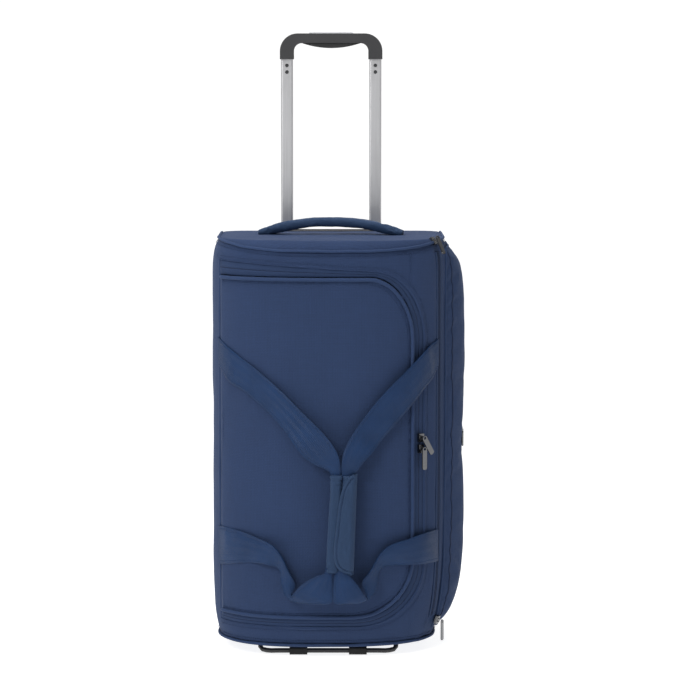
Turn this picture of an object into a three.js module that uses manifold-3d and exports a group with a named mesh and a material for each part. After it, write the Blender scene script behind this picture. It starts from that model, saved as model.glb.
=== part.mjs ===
// A rolling duffel bag that stands upright on two wheels and a foot bar.
// Millimetres, +Z up. The lid faces -Y and the trolley handle stands at the back, +Y.
// Everything is placed on the bag's own centreline (x = 0 between the trolley tubes, z = 0 on
// the floor), and the whole group is then moved so that its origin is under the box's centre.

import * as THREE from "three";
import { mergeVertices } from "three/addons/utils/BufferGeometryUtils.js";
import Module from "manifold-3d";

const wasm = await Module();
wasm.setup();

// ---------------------------------------------------------------- driving dimensions

const BAG = {
  halfWidth: 175.5, // widest, at mid-height
  frontY: -160, // crown of the lid side
  sideY: -20, // where the crown meets the straight sides
  backY: 150,
  backCorner: 35,
  crownPower: 2.4, // superellipse power of the crown
  bottomZ: 15,
  topZ: 608,
  wall: 5, // foam-backed fabric
  bottomTuck: 26, // how far the sides draw in at the bottom, and over what height
  bottomTuckHeight: 45,
  topTuck: 15,
  topTuckHeight: 14,
  backTuckShare: 0.3,
};
const SEAM_GAP = 0.35; // between neighbouring solids

const TOP_SEAM_Z = 594;
const BOTTOM_SEAM_Z = 23;
const BACK_SEAM_Y = 112;

const LID = {
  hingeX: -162,
  right: 120,
  bottom: 60,
  top: 556,
  topCorner: [64, 90],
  bottomCorner: [87, 80],
};
const LID_OPENING = {
  right: 134,
  bottom: 48,
  topLeft: 578,
  topRight: 563.5,
  topCorner: [72, 100],
  bottomCorner: [96, 90],
};

const TUBE = {
  x: 67.5,
  y: 125,
  innerWidth: 18.6,
  innerDepth: 12,
  innerWall: 1.2,
  innerBottom: 400,
  innerTop: 885,
  outerWidth: 26.4,
  outerDepth: 17,
  boreWidth: 21.2,
  boreDepth: 14,
  grooveWidth: 5.6,
  grooveDepth: 1.4,
  outerBottom: 46,
  outerTop: 584.5,
};
const GRIP = {
  legBottom: 871.5,
  top: 910.6,
  underside: 896,
  legWidth: 21.4,
  depth: 22,
  outerCorner: 27,
  innerCorner: 12,
};
const WHEEL = { radius: 35, width: 24, x: 139, y: 125, axleRadius: 3, clearance: 3.5, wall: 4 };
const FOOT = {
  barX: -4,
  barHalf: 100,
  barY: -110,
  barRadius: 3.5,
  barZ: 5.5,
  sleeveHalf: 13,
  sleeveSpread: 43.5,
};
const WEBBING = { width: 39, folded: 15, thickness: 2.6 };
const WRAP = { bottom: 130, top: 278, y: -182, leftX: 0, rightX: 22 };

// ---------------------------------------------------------------- small tools

const COLOURS = {
  shell: 0x2d3e5b,
  webbing: 0x2b4470,
  lining: 0x55585f,
  zip: 0x1c2a44,
  aluminium: 0xb4b4b8,
  blackPlastic: 0x2a2a2c,
  greyPlastic: 0x58585c,
  steel: 0x9a9da2,
  rubber: 0x1b1b1c,
  button: 0xd6d7da,
};
const FINISH = {
  shell: [0.85, 0],
  webbing: [0.55, 0],
  lining: [0.9, 0],
  zip: [0.7, 0],
  aluminium: [0.35, 0.9],
  blackPlastic: [0.5, 0],
  greyPlastic: [0.5, 0],
  steel: [0.3, 1],
  rubber: [0.8, 0],
  button: [0.4, 0],
};
const materials = {};
for (const name of Object.keys(COLOURS)) {
  const [roughness, metalness] = FINISH[name];
  materials[name] = new THREE.MeshStandardMaterial({ color: COLOURS[name], roughness, metalness });
}

const bag = new THREE.Group();

function add(name, material, shape) {
  const geometry = shape.isBufferGeometry ? shape : geometryOf(shape);
  geometry.computeVertexNormals();
  const mesh = new THREE.Mesh(geometry, materials[material]);
  mesh.name = name;
  bag.add(mesh);
}

function solidOf(geometry) {
  const bare = geometry.clone();
  bare.deleteAttribute("normal");
  bare.deleteAttribute("uv");
  const merged = mergeVertices(bare, 1e-4);
  return new wasm.Manifold(
    new wasm.Mesh({
      numProp: 3,
      vertProperties: merged.attributes.position.array,
      triVerts: new Uint32Array(merged.index.array),
    }),
  );
}

function geometryOf(solid) {
  const mesh = solid.getMesh();
  const positions = new Float32Array(mesh.numVert * 3);
  for (let i = 0; i < mesh.numVert; i++) {
    positions.set(mesh.vertProperties.subarray(i * mesh.numProp, i * mesh.numProp + 3), i * 3);
  }
  return new THREE.BufferGeometry()
    .setAttribute("position", new THREE.BufferAttribute(positions, 3))
    .setIndex(new THREE.BufferAttribute(mesh.triVerts, 1));
}

const vec = (x, y, z) => new THREE.Vector3(x, y, z);

// A box between two corners.
function block(x0, x1, y0, y1, z0, z1) {
  const geometry = new THREE.BoxGeometry(x1 - x0, y1 - y0, z1 - z0);
  return solidOf(geometry.translate((x0 + x1) / 2, (y0 + y1) / 2, (z0 + z1) / 2));
}

// A closed solid through rings of equal length, each anticlockwise seen from the last ring's side.
function loft(rings) {
  const count = rings[0].length;
  const positions = [];
  const indices = [];
  for (const ring of rings) for (const p of ring) positions.push(p.x, p.y, p.z);
  for (let r = 0; r < rings.length - 1; r++) {
    for (let i = 0; i < count; i++) {
      const a = r * count + i;
      const b = r * count + ((i + 1) % count);
      indices.push(a, b, b + count, a, b + count, a + count);
    }
  }
  for (const [ring, start, facing] of [
    [rings[0], 0, -1],
    [rings.at(-1), (rings.length - 1) * count, 1],
  ]) {
    const middle = ring.reduce((sum, p) => sum.add(p), vec(0, 0, 0)).divideScalar(count);
    const hub = positions.length / 3;
    positions.push(middle.x, middle.y, middle.z);
    for (let i = 0; i < count; i++) {
      const a = start + i;
      const b = start + ((i + 1) % count);
      indices.push(...(facing > 0 ? [a, b, hub] : [b, a, hub]));
    }
  }
  return new THREE.BufferGeometry()
    .setAttribute("position", new THREE.Float32BufferAttribute(positions, 3))
    .setIndex(indices);
}

// A round bar along points, as a solid.
function bar(points, radius, sides, steps) {
  const curve = new THREE.CatmullRomCurve3(points, false, "centripetal");
  const frames = curve.computeFrenetFrames(steps, false);
  const rings = [];
  for (let i = 0; i <= steps; i++) {
    const centre = curve.getPointAt(i / steps);
    const ring = [];
    for (let k = 0; k < sides; k++) {
      const angle = (2 * Math.PI * k) / sides;
      ring.push(
        centre
          .clone()
          .addScaledVector(frames.normals[i], radius * Math.cos(angle))
          .addScaledVector(frames.binormals[i], radius * Math.sin(angle)),
      );
    }
    rings.push(ring);
  }
  return loft(rings);
}

// A drawing's outline as corner points, none closer together than a hair.
function cornersOf(path, curveSegments) {
  const points = path.getPoints(curveSegments);
  return points.filter((p, i) => p.distanceTo(points.at(i - 1)) > 0.01);
}

// A drawing in (x, y) given a thickness along Z, starting at z = 0.
function extrude(shape, depth, curveSegments) {
  const plain = new THREE.Shape(cornersOf(shape, curveSegments));
  plain.holes = shape.holes.map((hole) => new THREE.Path(cornersOf(hole, curveSegments)));
  return new THREE.ExtrudeGeometry(plain, { depth, bevelEnabled: false });
}

// An upright drawing in (x, z), given thickness along Y from y0 to y1.
function upright(shape, y0, y1, curveSegments = 8) {
  return solidOf(extrude(shape, y1 - y0, curveSegments).rotateX(Math.PI / 2).translate(0, y1, 0));
}

// A flat drawing in (x, y), given height from z0 to z1.
function standing(shape, z0, z1, curveSegments = 4) {
  return solidOf(extrude(shape, z1 - z0, curveSegments).translate(0, 0, z0));
}

// A cylinder between two points.
function rod(from, to, radius, sides = 16) {
  const axis = to.clone().sub(from);
  const geometry = new THREE.CylinderGeometry(radius, radius, axis.length(), sides);
  const upright = vec(0, 1, 0);
  const turn = new THREE.Quaternion().setFromUnitVectors(upright, axis.clone().normalize());
  geometry.applyQuaternion(turn);
  const middle = from.clone().addScaledVector(axis, 0.5);
  return solidOf(geometry.translate(middle.x, middle.y, middle.z));
}

// A rectangle with rounded corners, as a drawing.
function roundedRectangle(cx, cy, width, height, radius) {
  const drawing = new THREE.Shape();
  const x0 = cx - width / 2;
  const x1 = cx + width / 2;
  const y0 = cy - height / 2;
  const y1 = cy + height / 2;
  drawing.moveTo(x0 + radius, y0);
  drawing.lineTo(x1 - radius, y0);
  drawing.absarc(x1 - radius, y0 + radius, radius, -Math.PI / 2, 0, false);
  drawing.lineTo(x1, y1 - radius);
  drawing.absarc(x1 - radius, y1 - radius, radius, 0, Math.PI / 2, false);
  drawing.lineTo(x0 + radius, y1);
  drawing.absarc(x0 + radius, y1 - radius, radius, Math.PI / 2, Math.PI, false);
  drawing.lineTo(x0, y0 + radius);
  drawing.absarc(x0 + radius, y0 + radius, radius, Math.PI, 1.5 * Math.PI, false);
  return drawing;
}

const both = [
  ["left", -1],
  ["right", 1],
];

// ---------------------------------------------------------------- the bag's stuffed form

// How far the sides are drawn in at a height.
function tuck(z) {
  const low = BAG.bottomTuck * Math.exp(-(z - BAG.bottomZ) / BAG.bottomTuckHeight);
  const high = BAG.topTuck * Math.exp(-(BAG.topZ - z) / BAG.topTuckHeight);
  return low + high;
}

function crownAt(x, z, inset = 0) {
  const drawn = tuck(z) + inset;
  const halfWidth = BAG.halfWidth - drawn;
  const depth = BAG.sideY - (BAG.frontY + drawn);
  const share = Math.min(1, Math.abs(x) / halfWidth) ** BAG.crownPower;
  return BAG.sideY - depth * (1 - share) ** (1 / BAG.crownPower);
}

const CROWN_STEPS = 24;

function sectionAt(z, inset) {
  const drawn = tuck(z) + inset;
  const halfWidth = BAG.halfWidth - drawn;
  const depth = BAG.sideY - (BAG.frontY + drawn);
  const back = BAG.backY - inset - BAG.backTuckShare * tuck(z);
  const corner = BAG.backCorner - inset;
  const crownSteps = CROWN_STEPS;
  const cornerSteps = 3;
  const ring = [];
  for (let i = 0; i <= crownSteps; i++) {
    const angle = (Math.PI * i) / crownSteps;
    const across = Math.abs(Math.cos(angle)) ** (2 / BAG.crownPower) * Math.sign(Math.cos(angle));
    const out = Math.sin(angle) ** (2 / BAG.crownPower);
    ring.push(vec(-halfWidth * across, BAG.sideY - depth * out, z));
  }
  for (const [side, start] of [
    [1, 0],
    [-1, Math.PI / 2],
  ]) {
    for (let i = 0; i <= cornerSteps; i++) {
      const angle = start + (Math.PI / 2) * (i / cornerSteps);
      ring.push(
        vec(
          side * (halfWidth - corner) + corner * Math.cos(angle),
          back - corner + corner * Math.sin(angle),
          z,
        ),
      );
    }
  }
  return ring;
}

function stuffedForm(inset) {
  const low = BAG.bottomZ + inset;
  const high = BAG.topZ - inset;
  const heights = [low, low + 9, low + 26, low + 56, low + 105, low + 200];
  heights.push(high - 55, high - 26, high - 11, high);
  return solidOf(loft(heights.map((z) => sectionAt(z, inset))));
}

const outside = stuffedForm(0);
const inside = stuffedForm(BAG.wall);
const wall = outside.subtract(inside);

// ---------------------------------------------------------------- lid, opening and zip band

// The lid side's outline: straight along the hinge, with two quarter ellipses on the free side.
function lidDrawing(outline, grow = 0) {
  const { right, bottom, topCorner, bottomCorner } = outline;
  const { topLeft = outline.top, topRight = outline.top } = outline;
  const left = LID.hingeX + 0.5 - grow;
  const drawing = new THREE.Shape();
  drawing.moveTo(left, bottom - grow);
  drawing.lineTo(right + grow - bottomCorner[0], bottom - grow);
  const lower = [right + grow - bottomCorner[0], bottom - grow + bottomCorner[1]];
  const upper = [right + grow - topCorner[0], topRight + grow - topCorner[1]];
  drawing.absellipse(...lower, ...bottomCorner, -Math.PI / 2, 0, false);
  drawing.lineTo(right + grow, upper[1]);
  drawing.absellipse(...upper, ...topCorner, 0, Math.PI / 2, false);
  drawing.lineTo(left, topLeft + grow);
  drawing.closePath();
  return drawing;
}

const FRONT_REACH = [-230, -25];
const lidPrism = upright(lidDrawing(LID), ...FRONT_REACH);
const lidPrismGrown = upright(lidDrawing(LID, 0.5), ...FRONT_REACH);
const openingPrism = upright(lidDrawing(LID_OPENING), ...FRONT_REACH);
const bandPrism = upright(lidDrawing(LID_OPENING, -SEAM_GAP), ...FRONT_REACH).subtract(lidPrismGrown);

add("lid_panel", "shell", wall.intersect(lidPrism));
add("lid_zip_tape", "zip", stuffedForm(1).subtract(stuffedForm(3.6)).intersect(bandPrism));

// ---------------------------------------------------------------- wheels and their housings

// Everything inside a radius of the axle, with the space straight below it.
function wheelSpace(side, radius, halfWidth) {
  const near = side * WHEEL.x - halfWidth;
  const far = side * WHEEL.x + halfWidth;
  const round = rod(vec(near, WHEEL.y, WHEEL.radius), vec(far, WHEEL.y, WHEEL.radius), radius, 24);
  const below = block(near, far, WHEEL.y - radius, WHEEL.y + radius, -10, WHEEL.radius);
  return round.add(below);
}

const cavityRadius = WHEEL.radius + WHEEL.clearance;
const cavityHalf = WHEEL.width / 2 + 2.5;
const housingRadius = cavityRadius + WHEEL.wall;
const housingHalf = cavityHalf + WHEEL.wall;
const housingReach = block(-400, 400, -400, 154, 12, 400);
let housingRoom = null;

for (const [name, side] of both) {
  const room = wheelSpace(side, housingRadius + SEAM_GAP, housingHalf + SEAM_GAP);
  housingRoom = housingRoom ? housingRoom.add(room) : room;
  const axleEnds = [-19, 19].map((out) => vec(side * WHEEL.x + out, WHEEL.y, WHEEL.radius));
  const housing = wheelSpace(side, housingRadius, housingHalf)
    .intersect(housingReach)
    .subtract(wheelSpace(side, cavityRadius, cavityHalf))
    .subtract(rod(...axleEnds, WHEEL.axleRadius + 0.35, 16));
  add("wheel_housing_" + name, "blackPlastic", housing);
  add("wheel_axle_" + name, "steel", rod(axleEnds[0], axleEnds[1], WHEEL.axleRadius, 16));

  const rim = 24;
  const half = WHEEL.width / 2;
  const spin = (points, segments) => {
    const profile = points.map(([r, w]) => new THREE.Vector2(r, w));
    const geometry = new THREE.LatheGeometry([...profile, profile[0].clone()], segments);
    return geometry.rotateZ(Math.PI / 2).translate(side * WHEEL.x, WHEEL.y, WHEEL.radius);
  };
  add(
    "wheel_tyre_" + name,
    "rubber",
    spin(
      [
        [rim + 0.3, -half + 2],
        [WHEEL.radius - 4, -half],
        [WHEEL.radius, -half + 5],
        [WHEEL.radius, half - 5],
        [WHEEL.radius - 4, half],
        [rim + 0.3, half - 2],
      ],
      32,
    ),
  );
  add(
    "wheel_hub_" + name,
    "greyPlastic",
    spin(
      [
        [WHEEL.axleRadius + 0.11, -half - 1],
        [8, -half - 1],
        [9, -4],
        [19, -4],
        [21, -half + 2],
        [rim, -half + 2],
        [rim, half - 2],
        [21, half - 2],
        [19, 4],
        [9, 4],
        [8, half + 1],
        [WHEEL.axleRadius + 0.11, half + 1],
      ],
      18,
    ),
  );
}

// ---------------------------------------------------------------- sewn panels

const BEZEL = { half: 98, front: 103, back: 143, bottom: 585, top: 611, floor: 591.5 };
const bezelRoom = block(
  -BEZEL.half - SEAM_GAP,
  BEZEL.half + SEAM_GAP,
  BEZEL.front - SEAM_GAP,
  BEZEL.back + SEAM_GAP,
  BEZEL.bottom,
  700,
);
const everywhere = 500;
const footLegs = [FOOT.barX - FOOT.barHalf, FOOT.barX + FOOT.barHalf];
const FOOT_LEG_Y = FOOT.barY + 16;
const legHoles = footLegs
  .map((x) => rod(vec(x, FOOT_LEG_Y, 0), vec(x, FOOT_LEG_Y, 60), FOOT.barRadius + 0.6, 12))
  .reduce((a, b) => a.add(b));

add(
  "top_end_panel",
  "shell",
  wall
    .intersect(block(-everywhere, everywhere, -everywhere, everywhere, TOP_SEAM_Z, 700))
    .subtract(bezelRoom),
);
add(
  "bottom_end_panel",
  "shell",
  wall
    .intersect(block(-everywhere, everywhere, -everywhere, everywhere, 0, BOTTOM_SEAM_Z))
    .subtract(housingRoom)
    .subtract(legHoles),
);
const waist = [BOTTOM_SEAM_Z + SEAM_GAP, TOP_SEAM_Z - SEAM_GAP];
add(
  "back_panel",
  "shell",
  wall
    .intersect(block(-everywhere, everywhere, BACK_SEAM_Y + SEAM_GAP, everywhere, ...waist))
    .subtract(housingRoom),
);
add(
  "body_wrap",
  "shell",
  wall
    .intersect(block(-everywhere, everywhere, -everywhere, BACK_SEAM_Y, ...waist))
    .subtract(openingPrism)
    .subtract(housingRoom),
);

// The lining wall that hides the trolley tubes from the main compartment.
const DIVIDER = [95, 97];
add(
  "inner_divider",
  "lining",
  stuffedForm(BAG.wall + 0.5)
    .intersect(block(-everywhere, everywhere, ...DIVIDER, 24.5, 602))
    .subtract(housingRoom),
);
const basePlate = roundedRectangle(0, -10, 200, 170, 20);
const basePlateZ = BAG.bottomZ + BAG.wall + 0.5;
add("base_plate", "blackPlastic", standing(basePlate, basePlateZ, basePlateZ + 3));

// ---------------------------------------------------------------- side pocket

const POCKET = { front: -76, back: 96, bottom: 34, top: 594, bulge: 20, wall: 3, badgeZ: 307 };

// The pocket's bulge past the bag's side, over its height and its depth.
function pocketForm(inset) {
  const bottom = POCKET.bottom + inset;
  const top = POCKET.top - inset;
  const front = POCKET.front + inset;
  const back = POCKET.back - inset;
  const rings = [];
  const levels = 12;
  const steps = 8;
  for (let j = 0; j <= levels; j++) {
    const up = -Math.cos((Math.PI * j) / levels);
    const z = (bottom + top) / 2 + ((top - bottom) / 2) * up;
    const rise = (POCKET.bulge - inset) * Math.max(0, 1 - Math.abs(up) ** 3.5) ** 0.6;
    const ring = [vec(150, back, z), vec(150, front, z)];
    for (let i = 0; i <= steps; i++) {
      const y = front + ((back - front) * i) / steps;
      const around = (2 * i) / steps - 1;
      const swell = rise * Math.max(0, 1 - Math.abs(around) ** 4) ** 0.7;
      ring.push(vec(sideX(y, z) + swell + 0.01, y, z));
    }
    rings.push(ring);
  }
  return solidOf(loft(rings));
}

// The bag's right side at a depth y.
function sideX(y, z) {
  const drawn = tuck(z);
  const halfWidth = BAG.halfWidth - drawn;
  if (y >= BAG.sideY) return halfWidth;
  const depth = BAG.sideY - (BAG.frontY + drawn);
  const share = ((BAG.sideY - y) / depth) ** BAG.crownPower;
  return halfWidth * (1 - share) ** (1 / BAG.crownPower);
}

const skinClear = stuffedForm(-0.4);
const pocketShell = pocketForm(0).subtract(pocketForm(POCKET.wall)).subtract(skinClear);
const pocketPieces = pocketShell.decompose().sort((a, b) => b.volume() - a.volume());
add("side_pocket", "shell", pocketPieces[0]);

const badge = roundedRectangle(10, POCKET.badgeZ, 50, 26, 5);
const badgeX = sideX(10, POCKET.badgeZ) + POCKET.bulge;
const badgeGeometry = extrude(badge, 2, 4);
badgeGeometry.rotateX(Math.PI / 2).rotateZ(Math.PI / 2).translate(badgeX + 0.4, 0, 0);
add("badge_plate", "steel", badgeGeometry);

// ---------------------------------------------------------------- piping and zip tapes

// A point just outside the skin of the lid side.
function onCrown(x, z, lift) {
  const step = 0.5;
  const at = (px, pz) => vec(px, crownAt(px, pz), pz);
  const alongX = at(x + step, z).sub(at(x - step, z));
  const alongZ = at(x, z + step).sub(at(x, z - step));
  const normal = alongX.cross(alongZ).normalize();
  return { point: at(x, z).addScaledVector(normal, lift), normal };
}

const lidEdge = lidDrawing(LID, -3.5).getSpacedPoints(90);
const pipingPath = lidEdge
  .slice(1, -1)
  .filter((p) => p.x > LID.hingeX + 6)
  .map((p) => onCrown(p.x, p.y, 3).point);
add("lid_piping", "shell", bar(pipingPath, 2.4, 5, 46));

for (const [name, z, lift] of [
  ["top_piping", TOP_SEAM_Z, 1.7],
  ["bottom_piping", BOTTOM_SEAM_Z, 1.7],
]) {
  const path = sectionAt(z, -lift - 0.4).slice(3, CROWN_STEPS - 2);
  add(name, "shell", bar(path, lift, 5, 28));
}

// A flat band through stations of centre, sideways direction and facing direction.
function ribbon(stations) {
  const rings = stations.map(({ point, across, normal, width, thickness }) => {
    const w = across.clone().multiplyScalar(width / 2);
    const t = normal.clone().multiplyScalar(thickness / 2);
    return [
      point.clone().sub(w).sub(t),
      point.clone().add(w).sub(t),
      point.clone().add(w).add(t),
      point.clone().sub(w).add(t),
    ];
  });
  return loft(rings);
}

const POCKET_ZIP = { x: 158.5, bottom: 60, top: 588, width: 9 };
const zipStations = [];
for (let i = 0; i <= 16; i++) {
  const z = POCKET_ZIP.bottom + ((POCKET_ZIP.top - POCKET_ZIP.bottom) * i) / 16;
  const x = POCKET_ZIP.x - tuck(z) * 0.9;
  const { point, normal } = onCrown(x, z, 1.3);
  const across = normal.clone().cross(vec(0, 0, 1)).normalize();
  zipStations.push({ point, across, normal, width: POCKET_ZIP.width, thickness: 1.4 });
}
add("pocket_zip_tape", "zip", ribbon(zipStations));

// ---------------------------------------------------------------- carry handles

// Route points of one webbing loop: x, z, stand-off from the skin, width.
const LEFT_ROUTE = [
  [-160, 445, 5, WEBBING.width],
  [-145, 432, 5, WEBBING.width],
  [-118, 404, 6, WEBBING.width],
  [-96, 381, 7, WEBBING.width],
  [-66, 354, 9, WEBBING.width - 2],
  [-37, 326, 13, WEBBING.width - 8],
  [-14, 302, 18, 26],
  [WRAP.leftX, 284, 22, WEBBING.folded],
  [WRAP.leftX, 266, 22, WEBBING.folded],
  [WRAP.leftX, 203, 22, WEBBING.folded],
  [WRAP.leftX, 140, 22, WEBBING.folded],
  [WRAP.leftX - 2, 122, 22, WEBBING.folded + 3],
  [-15, 106, 22, 26],
  [-37, 101, 20, 30],
  [-57, 111, 17, 32],
  [-69, 132, 14, 34],
  [-84, 152, 11, WEBBING.width - 2],
  [-105, 164, 8, WEBBING.width],
  [-130, 166, 6, WEBBING.width],
  [-160, 164, 5, WEBBING.width],
];
const RIGHT_ROUTE = [
  [149, 443, 7, WEBBING.width],
  [136, 433, 10, WEBBING.width],
  [115, 414, 12, WEBBING.width],
  [88, 386, 12, WEBBING.width],
  [63, 357, 13, WEBBING.width - 3],
  [42, 326, 15, WEBBING.width - 9],
  [28, 302, 19, 24],
  [WRAP.rightX, 284, 22, WEBBING.folded],
  [WRAP.rightX, 266, 22, WEBBING.folded],
  [WRAP.rightX, 203, 22, WEBBING.folded],
  [WRAP.rightX, 140, 22, WEBBING.folded],
  [WRAP.rightX + 2, 122, 22, WEBBING.folded + 3],
  [33, 106, 22, 22],
  [48, 103, 20, 26],
  [60, 114, 17, 30],
  [70, 134, 14, 34],
  [84, 152, 12, WEBBING.width - 2],
  [105, 164, 12, WEBBING.width],
  [128, 166, 11, WEBBING.width],
  [149, 165, 7, WEBBING.width],
];

function webbing(route, steps) {
  const places = new THREE.CatmullRomCurve3(
    route.map(([x, z, off]) => {
      const onSkin = crownAt(x, z);
      const stands = off > 12 ? Math.min(onSkin - off * 0.9, WRAP.y + (22 - off) * 1.6) : onSkin - off;
      return vec(x, stands, z);
    }),
    false,
    "centripetal",
  );
  const widths = route.map((p) => p[3]);
  const stations = [];
  for (let i = 0; i <= steps; i++) {
    const share = i / steps;
    const point = places.getPoint(share);
    const tangent = places.getTangent(share);
    const skin = onCrown(point.x, point.z, 0).normal;
    const across = skin.clone().cross(tangent).normalize();
    const normal = tangent.clone().cross(across).normalize();
    const at = share * (widths.length - 1);
    const whole = Math.min(widths.length - 2, Math.floor(at));
    const width = THREE.MathUtils.lerp(widths[whole], widths[whole + 1], at - whole);
    stations.push({ point, across, normal, width, thickness: WEBBING.thickness });
  }
  return ribbon(stations);
}

add("left_strap", "webbing", webbing(LEFT_ROUTE, 50));
add("right_strap", "webbing", webbing(RIGHT_ROUTE, 50));

// Padded sleeves round the two folded webbings, and the flap that closes over them.
function sleeve(x, width, depth) {
  const half = [WEBBING.folded / 2 + 1, WEBBING.thickness / 2 + 0.8];
  const slot = block(x - half[0], x + half[0], WRAP.y - half[1], WRAP.y + half[1], 0, 500);
  const outline = roundedRectangle(x, WRAP.y, width, depth, 5);
  return standing(outline, WRAP.bottom + 8, WRAP.top - 8).subtract(slot);
}
add("left_grip_sleeve", "shell", sleeve(WRAP.leftX, 20, 13));
add("handle_wrap", "shell", sleeve(WRAP.rightX, 22, 14));

const FLAP = { left: 4, right: 33, radius: 22, thickness: 2.4 };
const flap = new THREE.Shape();
flap.moveTo(FLAP.right, WRAP.bottom + 6);
flap.lineTo(FLAP.right, WRAP.top - 2);
flap.lineTo(FLAP.left + FLAP.radius, WRAP.top - 2);
flap.absellipse(FLAP.left + FLAP.radius, WRAP.top - 34, FLAP.radius, 32, Math.PI / 2, Math.PI, false);
flap.absellipse(FLAP.left + FLAP.radius, WRAP.bottom + 38, FLAP.radius, 32, Math.PI, 1.5 * Math.PI, false);
flap.closePath();
const flapFront = WRAP.y - 14 / 2 - 0.4;
add("wrap_flap", "shell", upright(flap, flapFront - FLAP.thickness, flapFront, 6));

// Padded top handle, an arch sewn down at both ends.
const TOP_HANDLE = { width: 32, thickness: 9, y: 8, half: 106, foot: 613.2, crown: 627 };
const archStations = [];
for (let i = 0; i <= 24; i++) {
  const share = (2 * i) / 24 - 1;
  const rise = Math.max(0, 1 - Math.abs(share) ** 2.2) ** 1.3;
  const height = TOP_HANDLE.foot + (TOP_HANDLE.crown - TOP_HANDLE.foot) * rise;
  archStations.push({
    point: vec(TOP_HANDLE.half * share, TOP_HANDLE.y, height),
    across: vec(0, -1, 0),
    normal: vec(0, 0, -1),
    width: TOP_HANDLE.width,
    thickness: TOP_HANDLE.thickness - 2 * Math.abs(share) ** 6,
  });
}
add("top_handle", "shell", ribbon(archStations));

// ---------------------------------------------------------------- trolley

const bezelCup = block(-82, 82, 111, 139, BEZEL.floor, 700);
const bezelOutline = roundedRectangle(
  0,
  (BEZEL.front + BEZEL.back) / 2,
  2 * BEZEL.half,
  BEZEL.back - BEZEL.front,
  9,
);
let bezel = standing(bezelOutline, BEZEL.bottom, BEZEL.top, 5).subtract(bezelCup);
for (const [, side] of both) {
  const x = side * TUBE.x;
  bezel = bezel.subtract(
    standing(roundedRectangle(x, TUBE.y, TUBE.innerWidth + 0.8, TUBE.innerDepth + 0.8, 3), 560, 640),
  );
}
add("trolley_bezel", "greyPlastic", bezel);

// A bore with a groove on one side, in which the lock pin's nose runs.
function groovedBore(x, side) {
  const w = TUBE.boreWidth / 2;
  const d = TUBE.boreDepth / 2;
  const g = TUBE.grooveWidth / 2;
  const far = x + side * (w + TUBE.grooveDepth);
  return block(x - w, x + w, TUBE.y - d, TUBE.y + d, 0, 700).add(
    block(Math.min(x, far), Math.max(x, far), TUBE.y - g, TUBE.y + g, 0, 700),
  );
}

const SCREW_HEIGHTS = [862, 852];
const ROD_X = 62;
for (const [name, side] of both) {
  const x = side * TUBE.x;
  const outer = roundedRectangle(x, TUBE.y, TUBE.outerWidth, TUBE.outerDepth, 3);
  add(
    "outer_tube_" + name,
    "aluminium",
    standing(outer, TUBE.outerBottom, TUBE.outerTop, 3).subtract(groovedBore(x, side)),
  );

  const inner = roundedRectangle(x, TUBE.y, TUBE.innerWidth, TUBE.innerDepth, 3);
  const hollow = roundedRectangle(
    x,
    TUBE.y,
    TUBE.innerWidth - 2 * TUBE.innerWall,
    TUBE.innerDepth - 2 * TUBE.innerWall,
    1.8,
  );
  let tube = standing(inner, TUBE.innerBottom, TUBE.innerTop, 3).subtract(standing(hollow, 0, 1000, 3));
  const face = TUBE.y - TUBE.innerDepth / 2;
  SCREW_HEIGHTS.forEach((z, i) => {
    tube = tube.subtract(rod(vec(x, face - 1, z), vec(x, face + 2, z), 2.9, 12));
    add(`tube_screw_${name}_${i + 1}`, "steel", rod(vec(x, face + 0.15, z), vec(x, face + 1.1, z), 2.6, 12));
  });
  add("inner_tube_" + name, "aluminium", tube);

  const plug = standing(roundedRectangle(x, TUBE.y, 15.4, 8.8, 1.4), 399, 412)
    .add(standing(roundedRectangle(x, TUBE.y, 20.6, 13.4, 2), 388, TUBE.innerBottom - SEAM_GAP))
    .subtract(rod(vec(side * ROD_X, TUBE.y, 396), vec(side * ROD_X, TUBE.y, 420), 1.8, 12))
    .subtract(rod(vec(x + side * 2, TUBE.y, 394), vec(x + side * 20, TUBE.y, 394), 2.5, 12));
  add("lock_block_" + name, "blackPlastic", plug);
  const pin = rod(vec(x + side * 4, TUBE.y, 394), vec(x + side * 11.4, TUBE.y, 394), 2.2, 12);
  add("lock_pin_" + name, "steel", pin);
  add(
    "release_rod_" + name,
    "steel",
    rod(vec(side * ROD_X, TUBE.y, 400), vec(side * ROD_X, TUBE.y, 901.1), 1.5, 8),
  );
}

add(
  "tube_base_bracket",
  "blackPlastic",
  standing(roundedRectangle(0, TUBE.y, 180, 26, 6), 28, TUBE.outerBottom - 0.5),
);

// Grip: an arch over both tubes, hollow for the release bar and pocketed for the tubes.
const gripHalf = TUBE.x + GRIP.legWidth / 2;
const gripInner = TUBE.x - GRIP.legWidth / 2;
const arch = new THREE.Shape();
arch.moveTo(-gripHalf, GRIP.legBottom);
arch.lineTo(-gripInner, GRIP.legBottom);
const inner = [gripInner - GRIP.innerCorner, GRIP.underside - GRIP.innerCorner, GRIP.innerCorner];
const outer = [gripHalf - GRIP.outerCorner, GRIP.top - GRIP.outerCorner, GRIP.outerCorner];
arch.absarc(-inner[0], inner[1], inner[2], Math.PI, Math.PI / 2, true);
arch.absarc(...inner, Math.PI / 2, 0, true);
arch.lineTo(gripInner, GRIP.legBottom);
arch.lineTo(gripHalf, GRIP.legBottom);
arch.absarc(...outer, 0, Math.PI / 2, false);
arch.absarc(-outer[0], outer[1], outer[2], Math.PI / 2, Math.PI, false);
const gripFront = TUBE.y - GRIP.depth / 2;
const gripBack = TUBE.y + GRIP.depth / 2;
const CHANNEL = { half: 65.6, low: 898, high: 904.7, depth: 8 };
const channelSides = [TUBE.y - CHANNEL.depth / 2, TUBE.y + CHANNEL.depth / 2];
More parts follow.
